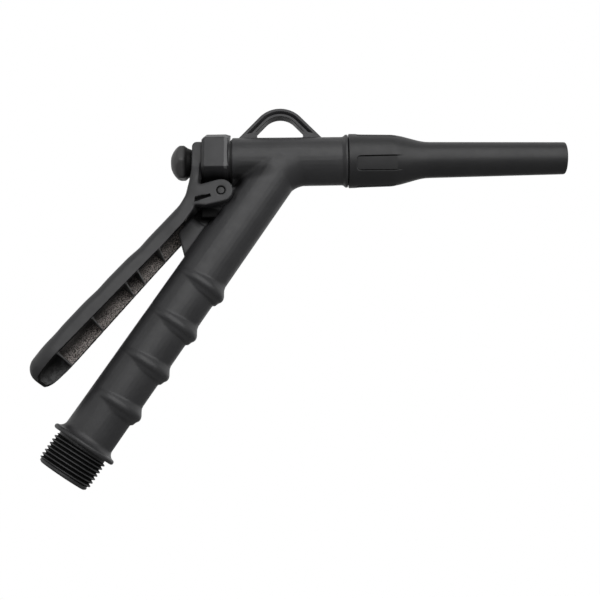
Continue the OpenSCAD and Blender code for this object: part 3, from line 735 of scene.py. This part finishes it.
# ---- inlet thread
THREAD_R, THREAD_DEPTH, THREAD_PITCH, THREAD_CREST = mm(16.62, 1.48, 2.309, 0.35)
THREAD_LEAD, THREAD_RELIEF, THREAD_ROOT_HALF = mm(2.5, 1.2, 0.12)
THREAD_START, LEAD_RISE, INLET_BORE_R = mm(0.9, 0.35, 10.5)
# How far the stub goes on inside the flange
STUB_BURIED = 1.2 * MM
# The stub's rounded end: how far up it, and how far out from the lead's radius, in mm
STUB_END = ((0.88, 0), (0.6, -0.32), (0.3, -0.78), (0.02, -1.22), (0, -2.5))
# Stations up its bore, in mm
BORE_STATIONS = (0, 0.5, 4, 12, 20)


def make_thread():
    """The inlet's threaded stub, as one helical ridge that runs out at both ends."""
    root = THREAD_R - THREAD_DEPTH
    buried = FLANGE_FACE + STUB_BURIED
    s = np.arange(THREAD_START, buried, 0.1 * MM)[:, None]
    angles = np.radians(np.arange(0, 360, 2.0))
    phase = np.mod(s / THREAD_PITCH - angles / (2 * math.pi), 1) - 0.5
    flank = (THREAD_PITCH - THREAD_CREST) / 2 - THREAD_ROOT_HALF
    rise = np.clip((THREAD_PITCH / 2 - THREAD_ROOT_HALF - np.abs(phase) * THREAD_PITCH) / flank, 0, 1)
    rise = rise - 0.06 * np.sin(2 * math.pi * rise)
    run_out = FLANGE_FACE - THREAD_RELIEF
    ramp = THREAD_LEAD - 0.9 * MM
    run = (smoothstep(ramp, THREAD_LEAD + 0.3 * MM, s)
           * (1 - smoothstep(run_out - 0.8 * MM, run_out, s)))
    lead = root + LEAD_RISE * (1 - smoothstep(ramp, THREAD_LEAD, s))
    thread = np.maximum(root + THREAD_DEPTH * rise * run, lead)
    end_s, end_out = np.array(STUB_END).T * MM
    bore_s = np.append(np.array(BORE_STATIONS) * MM, buried)
    s_all = np.concatenate([bore_s[::-1], end_s[::-1], s[:, 0]])
    plain = np.concatenate([np.full(len(bore_s), INLET_BORE_R), (root + LEAD_RISE + end_out)[::-1]])
    radius = np.concatenate([np.repeat(plain[:, None], len(angles), 1), thread])
    inlet, up, first = (np.array(v) for v in (INLET, GRIP_UP, Vector((GRIP_UP.z, 0, -GRIP_UP.x))))
    ring = np.cos(angles)[:, None] * first + np.sin(angles)[:, None] * np.array(SIDE)
    points = inlet + s_all[:, None, None] * up + radius[..., None] * ring
    made = mesh_object("inlet_thread_shell", closed_skin(points), *BODY)
    # Painted shade between the crests
    centre = rows_of(made.data.polygons, "center") - inlet
    along = centre @ up
    out = np.linalg.norm(centre - along[:, None] * up, axis=1)
    groove = (out < THREAD_R - 0.2 * THREAD_DEPTH) & (out > root - 0.1 * MM)
    groove &= (along > THREAD_LEAD - 0.25 * MM) & (along < FLANGE_FACE - 1.6 * MM)
    pick_looks(made, groove, "painted_groove_shade")


# ---- hanging loop
LOOP_TOP, LOOP_R, LOOP_STRAP, LOOP_T, LOOP_X = mm(33.6, 17, 5.3, 7, -0.6)
LOOP_LEAN, LOOP_BASE = math.radians(47), 12.7 * MM
LOOP_RIM, LOOP_GROOVE = mm(1.75, 2.3)
# Side outline of the front foot, in mm from the loop's middle and the barrel's axis
LOOP_FOOT = ((24.1, 12.8), (22.3, 16.8), (14.4, 18.4), (13.9, 16.9), (14.0, 15.6), (14.6, 12.8))
# How much thinner a foot is than the strap, on each face
FOOT_INSET = 0.03 * MM


def make_loop():
    """The hanging eye: a strap bent to an arch, with a rim along both edges of each face."""
    middle = LOOP_R - LOOP_STRAP / 2
    centre = LOOP_TOP - LOOP_R
    turns = np.linspace(-LOOP_LEAN, LOOP_LEAN, 61)
    arc = np.stack([np.sin(turns) * middle, centre + np.cos(turns) * middle], 1)
    drop = (arc[0, 1] - LOOP_BASE) / math.sin(LOOP_LEAN) + LOOP_STRAP
    steps = np.linspace(drop, 0, 40)[:-1]
    leg = arc[0] + np.outer(steps, (-math.cos(LOOP_LEAN), -math.sin(LOOP_LEAN)))
    path = np.concatenate([leg, arc, leg[::-1] * (-1, 1)])
    lean = np.concatenate([np.full(len(leg), -LOOP_LEAN), turns, np.full(len(leg), LOOP_LEAN)])
    out = np.stack([np.sin(lean), np.cos(lean)], 1)
    h, t = LOOP_STRAP / 2, LOOP_T / 2
    half = [(h, t, 0.5 * MM), (h - LOOP_RIM, t, 0.3 * MM),
            (-h + LOOP_RIM + 0.3 * MM, t - LOOP_GROOVE, 0.2 * MM),
            (-h + LOOP_RIM, t, 0.3 * MM), (-h, t, 0.45 * MM)]
    section = outline(half + [(x, -y, f) for x, y, f in reversed(half)], 0.5 * MM)
    x = path[:, :1] + out[:, :1] * section[:, 0]
    z = np.maximum(path[:, 1:] + out[:, 1:] * section[:, 0], LOOP_BASE)
    y = np.broadcast_to(section[:, 1], x.shape)
    points = np.stack([BEND.x + LOOP_X + x, y, BEND.z + z], -1)
    mesh_object("hanging_loop_shell", closed_strip(points), *BODY)
    # Solid feet, without the groove, that widen inwards
    for name, side in (("loop_foot_rear", -1), ("loop_foot_front", 1)):
        corners = [BEND + Vector((LOOP_X + side * x * MM, -t + FOOT_INSET, z * MM)) for x, z in LOOP_FOOT]
        mesh_object(name, prism(corners, (0, 1, 0), 2 * (t - FOOT_INSET)), *BODY, smooth=False)


# ---- lever
LEVER_VOXEL, LEVER_SHARE, EAR_OUTER = 0.42 * MM, 0.6, 15.5 * MM
LEVER_LEN, LEVER_BACK, LEVER_WALL, LEVER_EDGE = mm(153.15, 13.8, 2.5, 3.2)
# Half width at the head and at the lower end, and where it widens
LEVER_WIDE, WIDEN_FROM, WIDEN_OVER = mm(15, 20.8), 45 * MM, 90 * MM
CORNER, TIP_CORNER, TIP_CORNER_AT = 5.5 * MM, 8.2 * MM, mm(120, 142)
TIP_NARROW, TIP_NARROW_AT = 4.5 * MM, mm(133, 156)
TIP_THIN, TIP_THIN_AT = 1.2 * MM, mm(130, 138)
# The back's shallow dips, and its slight swell between two stretches
WAVE_FIRST, WAVE_PITCH, WAVE_HALF = mm(57, 34.5, 6)
WAVE_DEPTHS = mm(0.62, 0.38, 0.38)
SWELL, SWELL_IN, SWELL_OUT = 0.25 * MM, mm(45, 62), mm(100, 118)
# Smoothing: where the head's starts and ends down the lever and out of its back, and the lower end's
HEAD_FROM, HEAD_TO, HEAD_OUT = mm(-2, 6), mm(34, 44), mm(5, 8)
LOWER_FROM, HEAD_ROUNDS, LOWER_ROUNDS = mm(128, 136), 60, 12
# Cross ribs in the channel, and the share of their thickness that they keep
RIBS, RIB_SHARE = mm(50, 68, 77.75, 105.5, 133.25), 0.6
# Where the head runs into the channel, and how squarely a face has to face the skin to be drawn onto it
CHANNEL_AT, SQUARELY = mm(34, 46), (0.35, 0.6)
# How near to the skin a face has to lie: outside, inside, and how much more inside the lower end
NEAR_OUTER, NEAR_INNER, NEAR_TIP, NEAR_TIP_AT = 4.5 * MM, 1.7 * MM, 4.5 * MM, mm(136, 142)
# Two small pads on the head's front face: X, the two sides' Y, and Z, in mm from the bend
PAD_X, PAD_Y, PAD_Z = (-50, -47.4), ((5.8, 10.3), (-10.3, -5.8)), (-14.5, -4.5)
# Depth and side outline, from the pivot, of the slot in each ear: a deep line over a shallow ramp
EAR_SLOTS = ((1.7, ((-15.3, -4.9), (-6.3, -2.0), (-6.0, -3.2), (-15.3, -6.4))),
             (0.45, ((-15.0, -4.9), (-6.3, -2.2), (-5.8, -3.8), (-14.2, -6.7))))
# The slot's reach along X, its middle line's X, Z and slope from the pivot, and half its height
SLOT_X, SLOT_LINE, SLOT_HALF = mm(-15.5, -5.8), (-10 * MM, -3.9 * MM, 0.3), 1.6 * MM
RING_R, RING_DEPTH = mm(2.75, 0.8)


def skin_distance(u, v, h):
    """Distance outside the lever's outer skin, at places down the lever, across it and out of its back."""
    widening = np.clip((u - WIDEN_FROM) / WIDEN_OVER, 0, 1.05)
    wide = LEVER_WIDE[0] + (LEVER_WIDE[1] - LEVER_WIDE[0]) * widening
    wide = wide - TIP_NARROW * smoothstep(*TIP_NARROW_AT, u)
    high = np.full_like(u, LEVER_BACK)
    for k, deep in enumerate(WAVE_DEPTHS):
        high -= deep * np.exp(-((u - WAVE_FIRST - k * WAVE_PITCH) / WAVE_HALF) ** 2)
    high += SWELL * smoothstep(*SWELL_IN, u) * (1 - smoothstep(*SWELL_OUT, u))
    round_r = CORNER + (TIP_CORNER - CORNER) * smoothstep(*TIP_CORNER_AT, u)
    a = np.abs(v) - wide + round_r
    b = h - high + round_r
    c = u - LEVER_LEN + round_r - 0.1 * MM
    inside = np.minimum(np.maximum(np.maximum(a, b), c), 0)
    outside = np.sqrt(np.maximum(a, 0) ** 2 + np.maximum(b, 0) ** 2 + np.maximum(c, 0) ** 2)
    return inside + outside - round_r


def lever_frame(points):
    """Places down the lever, across it and out of its back, from the pivot."""
    local = points - np.array(PIVOT)
    return local @ np.array(DOWN), local[:, 1], local @ np.array(BACK)


def wall_at(u):
    """The channel's wall, thinner at the lower end."""
    return LEVER_WALL - TIP_THIN * smoothstep(*TIP_THIN_AT, u)


def fair_channel(mesh):
    """Draws the channel's skin onto one smooth shape: waves along its back and a round lower end."""
    points = points_of(mesh)
    u, v, h = lever_frame(points)
    normals = rows_of(mesh.vertices, "normal")
    local_n = np.stack([normals @ np.array(DOWN), normals[:, 1], normals @ np.array(BACK)], 1)
    step = 0.02 * MM
    zone = smoothstep(*CHANNEL_AT, u)
    total = np.zeros_like(points)
    for _ in range(3):
        f = skin_distance(u, v, h)
        g = np.stack([skin_distance(u + step, v, h) - f, skin_distance(u, v + step, h) - f,
                      skin_distance(u, v, h + step) - f], 1) / step
        facing = (local_n * g).sum(1)
        outer = smoothstep(*SQUARELY, facing) * (np.abs(f) < NEAR_OUTER)
        reach = NEAR_INNER + NEAR_TIP * smoothstep(*NEAR_TIP_AT, u)
        inner = smoothstep(*SQUARELY, -facing) * (np.abs(f + LEVER_WALL) < reach)
        move = -(f * outer + (f + wall_at(u)) * inner) * zone
        shift = g * move[:, None]
        u, v, h = u + shift[:, 0], v + shift[:, 1], h + shift[:, 2]
        total += shift
    moved = (points + total[:, :1] * np.array(DOWN) + total[:, 1:2] * np.array(SIDE)
             + total[:, 2:] * np.array(BACK))
    set_points(mesh, moved)


def thin_ribs(mesh):
    """Narrows the channel's cross ribs."""
    points = points_of(mesh)
    u, v, h = lever_frame(points)
    deep = smoothstep(LEVER_WALL, LEVER_WALL + 1.2 * MM, -skin_distance(u, v, h))
    for at in RIBS:
        near = (np.abs(u - at) < 1.6 * MM) * deep
        shift = (at - u) * (1 - RIB_SHARE) * near
        points += shift[:, None] * np.array(DOWN)
    set_points(mesh, points)


def soften_lever(mesh):
    """Lets the head flow from the fork into the channel's back, and evens the lower end."""
    u, _, h = lever_frame(points_of(mesh))
    head = smoothstep(*HEAD_FROM, u) * (1 - smoothstep(*HEAD_TO, u)) * smoothstep(*HEAD_OUT, h)
    relax(mesh, head, HEAD_ROUNDS)
    relax(mesh, smoothstep(*LOWER_FROM, u), LOWER_ROUNDS)
    relax(mesh, np.ones(len(u)), 2)


def ear_tools():
    """Solids that cut a tapering slot, and a sunk ring round the pin, into each ear's outer face."""
    for side in (-1, 1):
        for deep, slot in EAR_SLOTS:
            face = PIVOT + Vector((0, side * (EAR_OUTER - deep * MM), 0))
            yield prism([face + Vector((x * MM, 0, z * MM)) for x, z in slot], (0, side, 0), 3 * MM)
        face = PIVOT + Vector((0, side * (EAR_OUTER - RING_DEPTH), 0))
        yield drum(face, (0, side, 0), 2 * MM, RING_R, 64)


def make_lever():
    pads = [block(PAD_X, y, PAD_Z) for y in PAD_Y]
    mesh = softened(joined(frame["nodes"]["lever"].data, *pads), LEVER_VOXEL, 2)
    fair_channel(mesh)
    thin_ribs(mesh)
    soften_lever(mesh)
    mesh = cut(evaluated(mesh, "DECIMATE", ratio=LEVER_SHARE), *ear_tools())
    line_channel(mesh_object("lever_shell", mesh, "lever", "lever_plastic", "lever"))


def line_channel(lever):
    """Gives the channel its coarse, unpolished finish, and paints shade, near black, onto its rim, the slots and
    the rings.
    """
    centre, normal = (rows_of(lever.data.polygons, name) for name in ("center", "normal"))
    u, v, h = lever_frame(centre)
    channel = u > 26 * MM
    deep = (-skin_distance(u, v, h) > 0.8 * MM) & (h > LEVER_EDGE + 0.25 * MM)
    rib = np.min([np.abs(u - at) for at in RIBS], 0) < 0.75 * MM
    rim = (h < LEVER_EDGE + 0.4 * MM) & (normal @ np.array(BACK) < -0.7) & channel & ~rib
    sunk = (np.abs(v) < EAR_OUTER - 0.25 * MM) & (np.abs(v) > EAR_OUTER - 2 * MM)
    x, z = centre[:, 0] - PIVOT.x, centre[:, 2] - PIVOT.z
    line_x, line_z, slope = SLOT_LINE
    slot = sunk & (x > SLOT_X[0]) & (x < SLOT_X[1])
    slot &= np.abs(z - line_z - (x - line_x) * slope) < SLOT_HALF
    ring = sunk & (np.hypot(x, z) < RING_R + 0.15 * MM)
    # Painted shade on the rim, the slots and the rings
    dark = np.where(rim | slot | ring, 3, 0)
    pick = np.where(deep & channel & ~rib, np.where(u < RIBS[-1], 1, 2), dark)
    pick_looks(lever, pick, "lever_inner", "lever_inner_tip", "painted_groove_shade")


# ---- pin and spring
PIN_HALF = 15.1 * MM
# One end of the pin: how far in from its tip, and the radius there, in mm
PIN_END = ((0, 1.7), (0.06, 1.95), (0.25, 2.12), (0.5, 2.15))


def make_pin():
    """The pivot pin's ends, sunk a little below the ears."""
    end_in, end_r = np.array(PIN_END).T * MM
    stations = np.concatenate([end_in - PIN_HALF, (PIN_HALF - end_in)[::-1]])
    radii = np.concatenate([end_r, end_r[::-1]])
    angles = np.radians(np.arange(0, 360, 6.0))
    rings = np.stack([PIVOT.x + radii[:, None] * np.cos(angles), np.repeat(stations[:, None], len(angles), 1),
                      PIVOT.z + radii[:, None] * np.sin(angles)], -1)
    mesh = closed_strip(rings)
    mesh_object("pivot_pin_shell", mesh, "nozzle", "pin_steel", "pivot_pin")
    mesh.set_sharp_from_angle(angle=math.radians(40))


COIL_R, WIRE_R, COIL_TURNS = 7.6 * MM, 0.8 * MM, 7
SPRING_REAR, SPRING_FRONT = mm(-15.8, 12.6)


def make_spring():
    """The valve spring: round wire with a closed turn at each end, built at one length; the real one shortens as
    the stem slides back.
    """
    turns = np.linspace(0, COIL_TURNS, COIL_TURNS * 36 + 1)
    closed, free = 2.04 * WIRE_R, SPRING_FRONT - SPRING_REAR - 2 * WIRE_R
    rise = np.interp(turns, [0, 1, COIL_TURNS - 1, COIL_TURNS], [0, closed, free - closed, free])
    spin = turns * 2 * math.pi
    away = np.stack([np.zeros_like(spin), np.sin(spin), -np.cos(spin)], 1)
    along = np.array([1, 0, 0])
    centre = np.array(BEND) + (SPRING_REAR + WIRE_R + rise)[:, None] * along + away * COIL_R
    sides = np.radians(np.arange(0, 360, 30.0))[:, None]
    rings = centre[:, None] + away[:, None] * np.cos(sides) * WIRE_R + along * np.sin(sides) * WIRE_R
    spring = mesh_object("valve_spring_coil", closed_strip(rings), "nozzle", "steel", "valve_spring")
    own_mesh(spring)


# ---- spout
COLLAR_START, TAPER_START, TAPER_END, SPOUT_END = mm(40.8, 67.8, 85.8, 171.7)
COLLAR_R, COLLAR_R_END, TUBE_R, TIP_R, BORE_R = mm(16.35, 15.8, 10.9, 9.65, 7.6)
NOSE_HOLE_R, FRONT_BORE_R, GASKET_END, BORE_CONE = mm(12.6, 9.5, 57.5, 14)
# Grip panels: their middles, half their width at the rear, and how fast that grows
PANELS, PANEL_HALF, PANEL_FLARE = np.radians([-151, -64.1, 12, 113]), math.radians(16.3), 0.014
PANEL_START, PANEL_END, PANEL_FADE = mm(45.2, 73.5, 7)
PANEL_CORNER, PANEL_DEPTH, PANEL_LINE, PANEL_LINE_HALF = mm(2.5, 0.42, 0.6, 0.3)


def panel_cut(x, angle):
    """How deep a grip panel and the line round it go, at each station and angle."""
    turn = np.mod(angle[..., None] - PANELS + math.pi, 2 * math.pi) - math.pi
    middle = angle - np.take_along_axis(turn, np.argmin(np.abs(turn), -1)[..., None], -1)[..., 0]
    across = np.abs(angle - middle) * COLLAR_R
    half = PANEL_HALF * COLLAR_R + PANEL_FLARE * (x - PANEL_START)
    # Signed distance from a rounded slot that is open towards the tip
    side, rear = across - half + PANEL_CORNER, PANEL_START + PANEL_CORNER - x
    inside = (np.minimum(np.maximum(side, rear), 0)
              + np.hypot(np.maximum(side, 0), np.maximum(rear, 0)) - PANEL_CORNER)
    fade = 1 - smoothstep(PANEL_END - PANEL_FADE, PANEL_END, x)
    floor = PANEL_DEPTH * (1 - smoothstep(-0.25 * MM, 0.05 * MM, inside))
    line = PANEL_LINE * np.exp(-((inside + PANEL_LINE_HALF) / PANEL_LINE_HALF) ** 4)
    line = line * (0.35 + 0.65 * smoothstep(PANEL_START + MM, PANEL_START + 4 * MM, x))
    return (floor + line) * fade


def spout_rings(edge):
    """The spout's section, with fine steps only where the panels are carved."""
    def carved(section):
        x, r = section.T
        return (x > PANEL_START - 2 * MM) & (x < PANEL_END) & (r > NOSE_HOLE_R + MM)

    flat, fine = outline(edge, 2.5 * MM), outline(edge, 0.22 * MM)
    behind = (flat[:, 0] <= PANEL_START - 2 * MM) & (np.arange(len(flat)) < np.argmax(flat[:, 0]))
    plain = ~carved(flat)
    return np.concatenate([flat[plain & behind], fine[carved(fine)], flat[plain & ~behind]])


def spout_angles():
    """Even angles round the spout, with more of them at the panels' sides."""
    edges = np.radians(np.concatenate([np.arange(-3, 2.6, 0.2), [-7, -5, 4]]))
    near = np.concatenate([p + side * (PANEL_HALF + edges) for p in PANELS for side in (-1, 1)])
    even = np.radians(np.arange(0, 360, 3.0))
    angles = np.sort(np.mod(np.concatenate([near, even]), 2 * math.pi))
    return angles[np.diff(angles, append=angles[0] + 2 * math.pi) > math.radians(0.05)]


def make_spout():
    edge = [(COLLAR_START, COLLAR_R, 0.3 * MM), (TAPER_START, COLLAR_R_END, 16 * MM),
            (TAPER_END, TUBE_R, 30 * MM), (SPOUT_END, TIP_R, 1.1 * MM), (SPOUT_END, BORE_R, 0.5 * MM),
            (GASKET_END + BORE_CONE, BORE_R, 0), (GASKET_END, FRONT_BORE_R, 0),
            (GASKET_END, NOSE_HOLE_R, 0), (COLLAR_START, NOSE_HOLE_R, 0)]
    rings, angles = spout_rings(edge), spout_angles()
    radius = np.repeat(rings[:, 1:2], len(angles), 1)
    carved = (radius > NOSE_HOLE_R + MM) & (rings[:, :1] < PANEL_END)
    radius -= np.where(carved, panel_cut(rings[:, :1], angles), 0)
    mesh = closed_skin(about_barrel(rings[:, 0], radius, angles))
    made = mesh_object("spout_shell", mesh, "nozzle", "spout_plastic", "spout")
    # Matt panels, with painted shade in the lines round them
    x, r, angle, _ = from_barrel(made.data)
    sunk = panel_cut(x, angle) * (r > NOSE_HOLE_R + MM) * (x < PANEL_END)
    pick = np.where(sunk > PANEL_DEPTH + 0.45 * PANEL_LINE, 2, np.where(sunk > 0.6 * PANEL_DEPTH, 1, 0))
    pick_looks(made, pick, "panel_matt", "painted_groove_shade")


# ---- bonnet and cap nut
HEX_ANGLES = np.radians(np.arange(0, 360, 0.5))
HEX_REAR, HEX_FRONT, SPIGOT_END = mm(-47.15, -30.2, -17.0)
BONNET_FLATS, BONNET_TURN, BONNET_CORNER = 33 * MM, math.radians(57), 0.12 * MM
SPIGOT_R, STEM_HOLE_R, PACKING_R, PACKING_BACK = mm(11.7, 5.06, 7.5, -26.0)
# The hexagon's rear edge: length and depth of its bevel, and the cone that takes its corners off
REAR_BEVEL, REAR_DEPTH, REAR_CONE = 1.9 * MM, 1.9 * MM, 0.95
# Its front edge: length and depth of the bevel, length and radius of the neck, dish of the face
BONNET_BEVEL, BEVEL_DEPTH, BONNET_NECK, NECK_R, BONNET_DISH = 2.0 * MM, 0.95 * MM, 1.5 * MM, 13.2 * MM, 0.4
# Block on the bonnet's rear face that the lever's head rests against: X, Y and Z, in mm from the bend
REST_BLOCK = ((-47.75, -46.3), (-4.4, 4.4), (-13.2, -5.8))
CAP_END, CAP_FACE, CAP_HOLE_R, CAP_HOLE_END = mm(-66.5, -53.7, 5.1, -62.2)
CAP_FLATS, CAP_TURN, CAP_CORNER = 19.9 * MM, math.radians(40), 0.3 * MM
DOME_R, DOME_FLAT = mm(13, 3.7)
# Where the cap's hexagon runs into its round neck, and the neck's radius and taper
CAP_NECK_AT, CAP_NECK_R, CAP_NECK_FROM, CAP_NECK_TAPER = mm(7.6, 10.4), 9.5 * MM, 8.8 * MM, 0.38


def hexagon(flats, turn, corner):
    """Radius of a hexagon with slightly rounded corners, at HEX_ANGLES."""
    face = np.radians(60) * np.round((HEX_ANGLES - turn - math.pi / 6) / np.radians(60)) + math.pi / 6
    off = HEX_ANGLES - turn - face
    sharp = flats / 2 / np.cos(off)
    tall = flats / 2 / math.cos(math.pi / 6)
    return soft_min(sharp, np.full_like(sharp, tall - corner), corner * 2)


def turned(outer, inner):
    """Closed skin of an outer surface and an inner section of (station, radius), about the barrel."""
    radius = np.repeat(inner[:, 1:2], len(HEX_ANGLES), 1)
    return closed_skin(np.concatenate([outer, about_barrel(inner[:, 0], radius, HEX_ANGLES)]))


def make_bonnet():
    # The section closes far outside, and its points out there are dropped for the outer surface
    far = 0.9
    edge = [(HEX_REAR, far, 0), (HEX_FRONT, far, 0), (HEX_FRONT, SPIGOT_R, 0),
            (SPIGOT_END, SPIGOT_R, 0.4 * MM), (SPIGOT_END, PACKING_R, 0), (PACKING_BACK, PACKING_R, 0),
            (PACKING_BACK, STEM_HOLE_R, 0), (HEX_REAR, STEM_HOLE_R, 0)]
    x = np.linspace(0, HEX_FRONT - HEX_REAR, 110)
    hexed = hexagon(BONNET_FLATS, BONNET_TURN, BONNET_CORNER)
    tall = BONNET_FLATS / 2 / math.cos(math.pi / 6)
    cone = (tall - REAR_DEPTH + x * REAR_CONE)[:, None]
    rear = np.maximum(1 - x / REAR_BEVEL, 0)[:, None]
    front = np.clip((x - x[-1] + BONNET_NECK + BONNET_BEVEL) / BONNET_BEVEL, 0, 1)[:, None]
    radius = soft_min(hexed - REAR_DEPTH * rear ** 1.4, cone, 0.6 * MM) - BEVEL_DEPTH * front
    neck = smoothstep(x[-1] - BONNET_NECK, x[-1] - BONNET_NECK + 0.3 * MM, x)[:, None]
    # The front face is dished, so the corners reach further forward than the flats
    reach = (hexed - BONNET_FLATS / 2) * BONNET_DISH * front * (1 - neck)
    radius = radius * (1 - neck) + NECK_R * neck
    outer = about_barrel(HEX_REAR + x[:, None] + reach, radius, HEX_ANGLES)
    inner = outline(edge, 2 * MM)
    inner = inner[inner[:, 1] < SPIGOT_R + 0.01 * MM]
    mesh = joined(turned(outer, inner), block(*REST_BLOCK))
    made = mesh_object("bonnet_shell", mesh, "nozzle", "bonnet_plastic", "bonnet")
    # Painted highlight: the front bevel of the flats on the sides is painted lighter
    x, r, _, z = from_barrel(made.data)
    bevel = HEX_FRONT - BONNET_NECK - BONNET_BEVEL
    bevel_highlight = (x > bevel + 0.2 * MM) & (x < bevel + BONNET_BEVEL) & (r > 15.2 * MM)
    bevel_highlight &= (z > -9.5 * MM) & (z < 12 * MM)
    pick_looks(made, bevel_highlight, "painted_bevel_highlight")


def make_cap():
    x = np.concatenate([np.linspace(0, 1.5 * MM, 24), np.linspace(1.6 * MM, CAP_FACE - CAP_END, 56)])
    middle = math.sqrt(DOME_R ** 2 - DOME_FLAT ** 2)
    dome = np.sqrt(np.maximum(DOME_R ** 2 - (middle - x) ** 2, 0))[:, None]
    radius = soft_min(hexagon(CAP_FLATS, CAP_TURN, CAP_CORNER), dome, 0.35 * MM)
    neck = smoothstep(*CAP_NECK_AT, x)[:, None]
    radius = radius * (1 - neck) + (CAP_NECK_R - CAP_NECK_TAPER * (x[:, None] - CAP_NECK_FROM)) * neck
    outer = about_barrel(CAP_END + x, radius, HEX_ANGLES)
    nearly_closed = 0.02 * MM
    inner = np.array([(CAP_FACE, CAP_HOLE_R), (CAP_HOLE_END, CAP_HOLE_R),
                      (CAP_HOLE_END, nearly_closed), (CAP_END, nearly_closed)])
    mesh_object("cap_nut_shell", turned(outer, inner), "valve", "cap_plastic", "cap_nut")


# ---- the whole scene
make_camera()
make_stage()
finish_looks()
dress_cad()
make_body()
make_thread()
make_loop()
make_spout()
make_bonnet()
make_cap()
make_lever()
make_pin()
make_spring()
